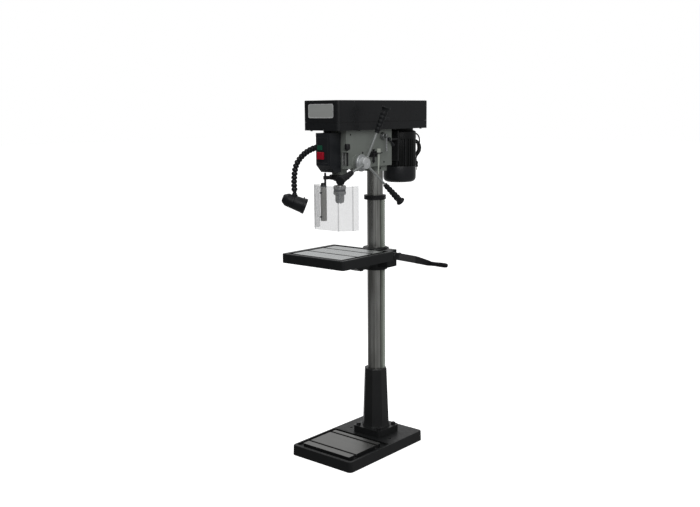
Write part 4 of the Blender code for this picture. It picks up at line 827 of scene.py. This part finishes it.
for k in range(4):                                   # cooling ribs behind the middle
    z = -0.0370 + k * 0.0080
    r = 0.0322 + k * 0.0004
    prof += [(r - 0.0014, z), (r + 0.0004, z + 0.0008), (r + 0.0006, z + 0.0040), (r - 0.0012, z + 0.0050)]
prof += [(0.0334, -0.0040), (0.0344, 0.0100), (0.0352, 0.0300), (0.0362, 0.0400), (0.0371, 0.0410), (0.0375, 0.0430),
         (0.0377, 0.0530), (0.0370, 0.0540), (0.0358, 0.0540), (0.0348, 0.0500), (0.0312, 0.0310), (0.0232, -0.0080),
         (0.0190, -0.0400), (0, -0.0400)]
s = lathe(prof, 64)
aim(s, LC, LD)
# plate and yoke on top, where the neck is fixed
st = lathe([(0.0150, LC.z + 0.0250), (0.0150, 1.3050), (0.0136, 1.3066), (0.0112, 1.3070), (0.0110, 1.3140), (0.0106, 1.3150),
            (0, 1.3150)], 28,
           at=(LP.x, LP.y, 0))
merge(s, st)
# handle tab above the mouth
u = LD.orthogonal().normalized()
up2 = Vector((0, 0, 1)) - LD * LD.z
up2.normalize()
side = LD.cross(up2)
tab = pillow(-0.0065, -0.0030, 0.0065, 0.0030, 0.0020, ((0, 0), (0.0060, 0), (0.0072, 0.0012)), "Z")
bmesh.ops.transform(tab, matrix=Matrix.Translation(LC + LD * 0.034 + up2 * 0.0335) @ Matrix((side, LD, up2)).transposed().to_4x4(),
                    verts=tab.verts)
merge(s, tab)
piece("lamp_shade", s, M["lamp"], "lamp", "lamp_head", smooth=32)
s = lathe([(0.0228, -0.0080), (0.0306, 0.0305), (0.0338, 0.0480), (0.0332, 0.0480), (0.0298, 0.0306), (0.0216, -0.0100),
           (0.0120, -0.0300), (0.0126, -0.0310)], 56, ring=True)
aim(s, LC, LD)
piece("lamp_reflector", s, M["reflector"], "lamp", smooth=40)
s = lathe([(0, -0.0395), (0.0100, -0.0395), (0.0118, -0.0320), (0.0126, -0.0200), (0.0150, -0.0080), (0.0190, 0.0020),
           (0.0236, 0.0120), (0.0258, 0.0200), (0.0262, 0.0240), (0.0244, 0.0280), (0.0180, 0.0312), (0.0090, 0.0328),
           (0, 0.0332)], 40)
aim(s, LC, LD)
piece("bulb", s, M["lens"], "lamp", "lamp_bulb", smooth=60)

# ------------------------------------------------------------------ chuck guard
px, py = -0.0350, -0.3450
qx = -0.0230                                         # the swing pin beside the post
cad("guard_arm", M["black"], 0.0010, 2, angle=35)
bm = lathe([(0, 1.1850), (0.0132, 1.1850), (0.0140, 1.1856), (0.0150, 1.1870), (0.0150, 1.3470)], 48, at=(px, py, 0))
piece("post_tube", bm, M["post"], "guard", smooth=35)
bm = lathe([(0.0151, 1.3468), (0.0153, 1.3474), (0.0150, 1.3510), (0.0112, 1.3640), (0.0100, 1.3656), (0, 1.3660)], 40,
           at=(px, py, 0))
pin = lathe([(0, 1.3416), (0.0030, 1.3422), (0.0050, 1.3442), (0.0056, 1.3475), (0.0053, 1.3500), (0.0053, 1.4100),
             (0.0048, 1.4136), (0, 1.4140)], 32, at=(qx, py, 0))
merge(bm, pin)
piece("post_cap", bm, M["black"], "guard", "guard_post", smooth=32)
# clear sheet, folded with small radii at its four bends
pts = [(-0.1230, -0.2760), (-0.1230, -0.3161), (-0.0741, -0.3650), (0.0741, -0.3650), (0.1230, -0.3161), (0.1230, -0.2760)]
mid = [Vector((*pts[0], 0))]
for i in range(1, 5):
    a, b, c = (Vector((*pts[k], 0)) for k in (i - 1, i, i + 1))
    ra, rc = (a - b).normalized() * 0.0035, (c - b).normalized() * 0.0035
    for t in (0, 0.25, 0.5, 0.75, 1):
        mid.append((b + ra) * (1 - t) ** 2 + b * 2 * t * (1 - t) + (b + rc) * t * t)
mid.append(Vector((*pts[5], 0)))
nrm = []
for i in range(len(mid)):
    t = (mid[min(i + 1, len(mid) - 1)] - mid[max(i - 1, 0)]).normalized()
    nrm.append(Vector((-t.y, t.x, 0)))
outer = [m2 - n2 * 0.0009 for m2, n2 in zip(mid, nrm)]
inner = [m2 + n2 * 0.0009 for m2, n2 in zip(mid, nrm)]
loop = outer + inner[::-1]
bm = prism([(p.x, p.y) for p in loop], 1.1437, 1.3538)
sh = piece("shield_sheet", bm, [M["clear"], M["clear_edge_highlight"], M["clear_bend_shade"]], "guard", "guard_shield", smooth=50)
for p in sh.data.polygons:
    # the top, bottom and cut end faces take the lighter copy: painted highlight on the sheet's edges
    if abs(p.normal.z) > 0.9 or (abs(p.normal.y) > 0.9 and p.center.y > -0.277):
        p.material_index = 1
    # the narrow bend faces take the darker copy: painted shade along the folds
    elif p.area < 0.0022 * 0.21:
        p.material_index = 2
# two button screws that hold the sheet to the post
bm = bmesh.new()
for z in (1.2050, 1.3200):
    lathe([(0.0046, -0.3662), (0.0046, -0.3672), (0.0034, -0.3684), (0, -0.3686)], 24, "Y", (px, 0, z), bm=bm)
    lathe([(0.0030, -0.3640), (0.0030, -0.3590), (0, -0.3590)], 16, "Y", (px, 0, z), bm=bm)
piece("shield_screws", bm, M["blackoxide"], "guard", smooth=40)

# -------------------------------------------------------------------- depth stop
prof = [(0, 1.4275), (0.0034, 1.4275)]
z = 1.4285
while z < 1.5190:
    prof += [(0.0041, z), (0.0036, z + 0.0008)]
    z += 0.0016
prof += [(0.0041, 1.5205), (0.0092, 1.5225), (0.0100, 1.5232), (0.0130, 1.5262)]
k0 = len(prof)
prof += [(0.0132, 1.5275), (0.0132, 1.5435), (0.0124, 1.5462), (0.0108, 1.5488), (0.0090, 1.5490), (0, 1.5490)]
bm = lathe(prof, 48, at=(0.0872, -0.3110, 0), mod=lambda k, i: 0.965 if k in (k0, k0 + 1) and i % 4 == 0 else 1.0)
piece("stop_screw", bm, M["black"], "depth_stop", "depth_stop", smooth=40)
# scale plate on the head's front face beside the rod: two light edges and a ruled middle, no figures
bm = pillow(0.0480, 1.4470, 0.0700, 1.5070, 0.0016, ((-0.3005, 0.0), (-0.3024, 0.0), (-0.3027, 0.0003)), "Y")
piece("depth_scale", bm, M["scale"], "frame", smooth=30)
bm = bmesh.new()
for x in (0.0486, 0.0662):
    pillow(x, 1.4478, x + 0.0032, 1.5062, 0.0006, ((-0.3020, 0.0), (-0.3032, 0.0), (-0.3034, 0.0003)), "Y", bm)
for k in range(21):
    w = 0.0090 if k % 5 == 0 else 0.0052
    box(0.0530, -0.3031, 1.4495 + k * 0.0027, 0.0530 + w, -0.3022, 1.4500 + k * 0.0027, bm)
piece("scale_lines", bm, M["plate_rim"], "frame", smooth=0)

# ------------------------------------------------- tool holder, key and drift
cad("tool_holder", M["black"], 0.0006, 2)
prof = [(0, 1.4515), (0.0030, 1.4515), (0.0035, 1.4522), (0.0040, 1.4560), (0.0078, 1.4568), (0.0080, 1.4574), (0.0068, 1.4655),
        (0.0056, 1.4668), (0.0055, 1.4700), (0.0055, 1.5110), (0.0067, 1.5140), (0.0068, 1.5165), (0.0064, 1.5172), (0, 1.5175)]
bm = lathe(prof, 40, at=(0.0880, -0.1180, 0), mod=lambda k, i: 0.86 if k in (4, 5, 6) and i % 4 < 2 else 1.0)
bar = lathe([(0.0034, -0.1380), (0.0042, -0.1372), (0.0042, -0.1350), (0.0036, -0.1335), (0.0036, -0.1030), (0.0042, -0.1015),
             (0.0042, -0.0993), (0.0034, -0.0985)], 24, "Y", (0.0880, 0, 1.5046))
merge(bm, bar)
piece("key_tee", bm, M["black"], "chuck_key", "chuck_key", smooth=30)
cad("drift_key", M["tool"], 0.0004, 2)

# -------------------------------------------------------------- table, bracket
def pick_table(c, n):
    if n.z > 0.9 and c.z > TABLE_TOP - 0.0006 and abs(c.x) < 0.1556 and -0.4385 < c.y < -0.1295:
        return 1
    if c.z > TABLE_TOP - 0.0255 and abs(c.x) < 0.164 and (abs(c.y + 0.329) < 0.0118 or abs(c.y + 0.213) < 0.0118):
        return 2
    return 0


cad("table", M["cast"], 0.0012, 3, pick=pick_table, mats=(M["face"], M["slot_steel"]))
cad("table_bracket", M["cast"], 0.0014, 2, angle=28)
cad("tilt_bolt", M["blackoxide"], 0.0006, 2)
cad("column_clamp_lever", M["black"], 0.0006, 2)
cad("crank_arm", M["black"], 0.0010, 2, angle=40)
bm = lathe([(0, 0.3010), (0.0050, 0.3010), (0.0050, 0.2062), (0.0092, 0.2062), (0.0104, 0.2070), (0.0114, 0.2100),
            (0.0108, 0.2200), (0.0106, 0.2320), (0.0112, 0.2480), (0.0118, 0.2640), (0.0119, 0.2800), (0.0114, 0.2940),
            (0.0098, 0.3030), (0.0070, 0.3056), (0, 0.3060)], 40, "X", (0, 0.1960, 0.9295))
piece("crank_handle_grip", bm, M["rubber"], "crank_handle", "crank_grip", smooth=50)

# --------------------------------------------------------------- floor and light
fm, nt, b = nodes_of("floor")
b.inputs["Base Color"].default_value = (0.90, 0.90, 0.90, 1)
b.inputs["Roughness"].default_value = 0.9
b.inputs["Specular IOR Level"].default_value = 0.0
b.inputs["Emission Color"].default_value = (1, 1, 1, 1)
b.inputs["Emission Strength"].default_value = 0.90
me = bpy.data.meshes.new("floor")
s = 40
me.from_pydata([(-s, -s, -0.0004), (s, -s, -0.0004), (s, s, -0.0004), (-s, s, -0.0004)], [], [(0, 1, 2, 3)])
me.materials.append(fm)
floor = bpy.data.objects.new("floor", me)
scene.collection.objects.link(floor)
floor.visible_diffuse = False
floor.visible_glossy = False

w = bpy.data.worlds.new("studio")
scene.world = w
w.use_nodes = True
nt = w.node_tree
bg = nt.nodes["Background"]
tc = nt.nodes.new("ShaderNodeTexCoord")
sep = nt.nodes.new("ShaderNodeSeparateXYZ")
nt.links.new(tc.outputs["Generated"], sep.inputs[0])


def mth(op, a, bb=0.0):
    n = nt.nodes.new("ShaderNodeMath")
    n.operation = op
    for i, v in enumerate((a, bb)):
        if isinstance(v, (int, float)):
            n.inputs[i].default_value = v
        else:
            nt.links.new(v, n.inputs[i])
    return n.outputs[0]


def lobe(dx, dy, dz, gain, power):
    """A soft bright patch of studio around one direction."""
    n = Vector((dx, dy, dz)).normalized()
    q = mth("ADD", mth("ADD", mth("MULTIPLY", sep.outputs["X"], n.x), mth("MULTIPLY", sep.outputs["Y"], n.y)),
            mth("MULTIPLY", sep.outputs["Z"], n.z))
    return mth("MULTIPLY", mth("POWER", mth("MAXIMUM", q, 0.0), power), gain)


tot = mth("ADD", mth("ADD", mth("ADD", lobe(-0.64, 0.75, 0.20, 0.62, 2.0), lobe(0.60, -0.80, 0.05, 0.10, 2.0)),
                     lobe(0.88, 0.46, 0.05, 0.17, 2.0)),
          mth("ADD", mth("ADD", lobe(0, 0, 1, 0.24, 1.0), lobe(0, 0, -1, 0.26, 1.5)), 0.04))
lp = nt.nodes.new("ShaderNodeLightPath")
mixw = nt.nodes.new("ShaderNodeMix")
mixw.data_type = "FLOAT"
nt.links.new(lp.outputs["Is Camera Ray"], mixw.inputs["Factor"])
nt.links.new(tot, mixw.inputs["A"])
mixw.inputs["B"].default_value = 1.0
nt.links.new(mixw.outputs["Result"], bg.inputs["Strength"])
bg.inputs["Color"].default_value = (1, 1, 1, 1)


def area(name, loc, target, size, power):
    l = bpy.data.lights.new(name, "AREA")
    l.energy, l.size = power, size
    o = bpy.data.objects.new(name, l)
    o.location = loc
    o.rotation_mode = "QUATERNION"
    o.rotation_quaternion = (Vector(target) - Vector(loc)).to_track_quat("-Z", "Y")
    scene.collection.objects.link(o)


area("key", (2.3, -2.1, 3.2), (0, 0, 1.0), 2.4, 34)
area("top", (-0.4, -0.6, 4.4), (0, 0, 0.8), 3.0, 24)
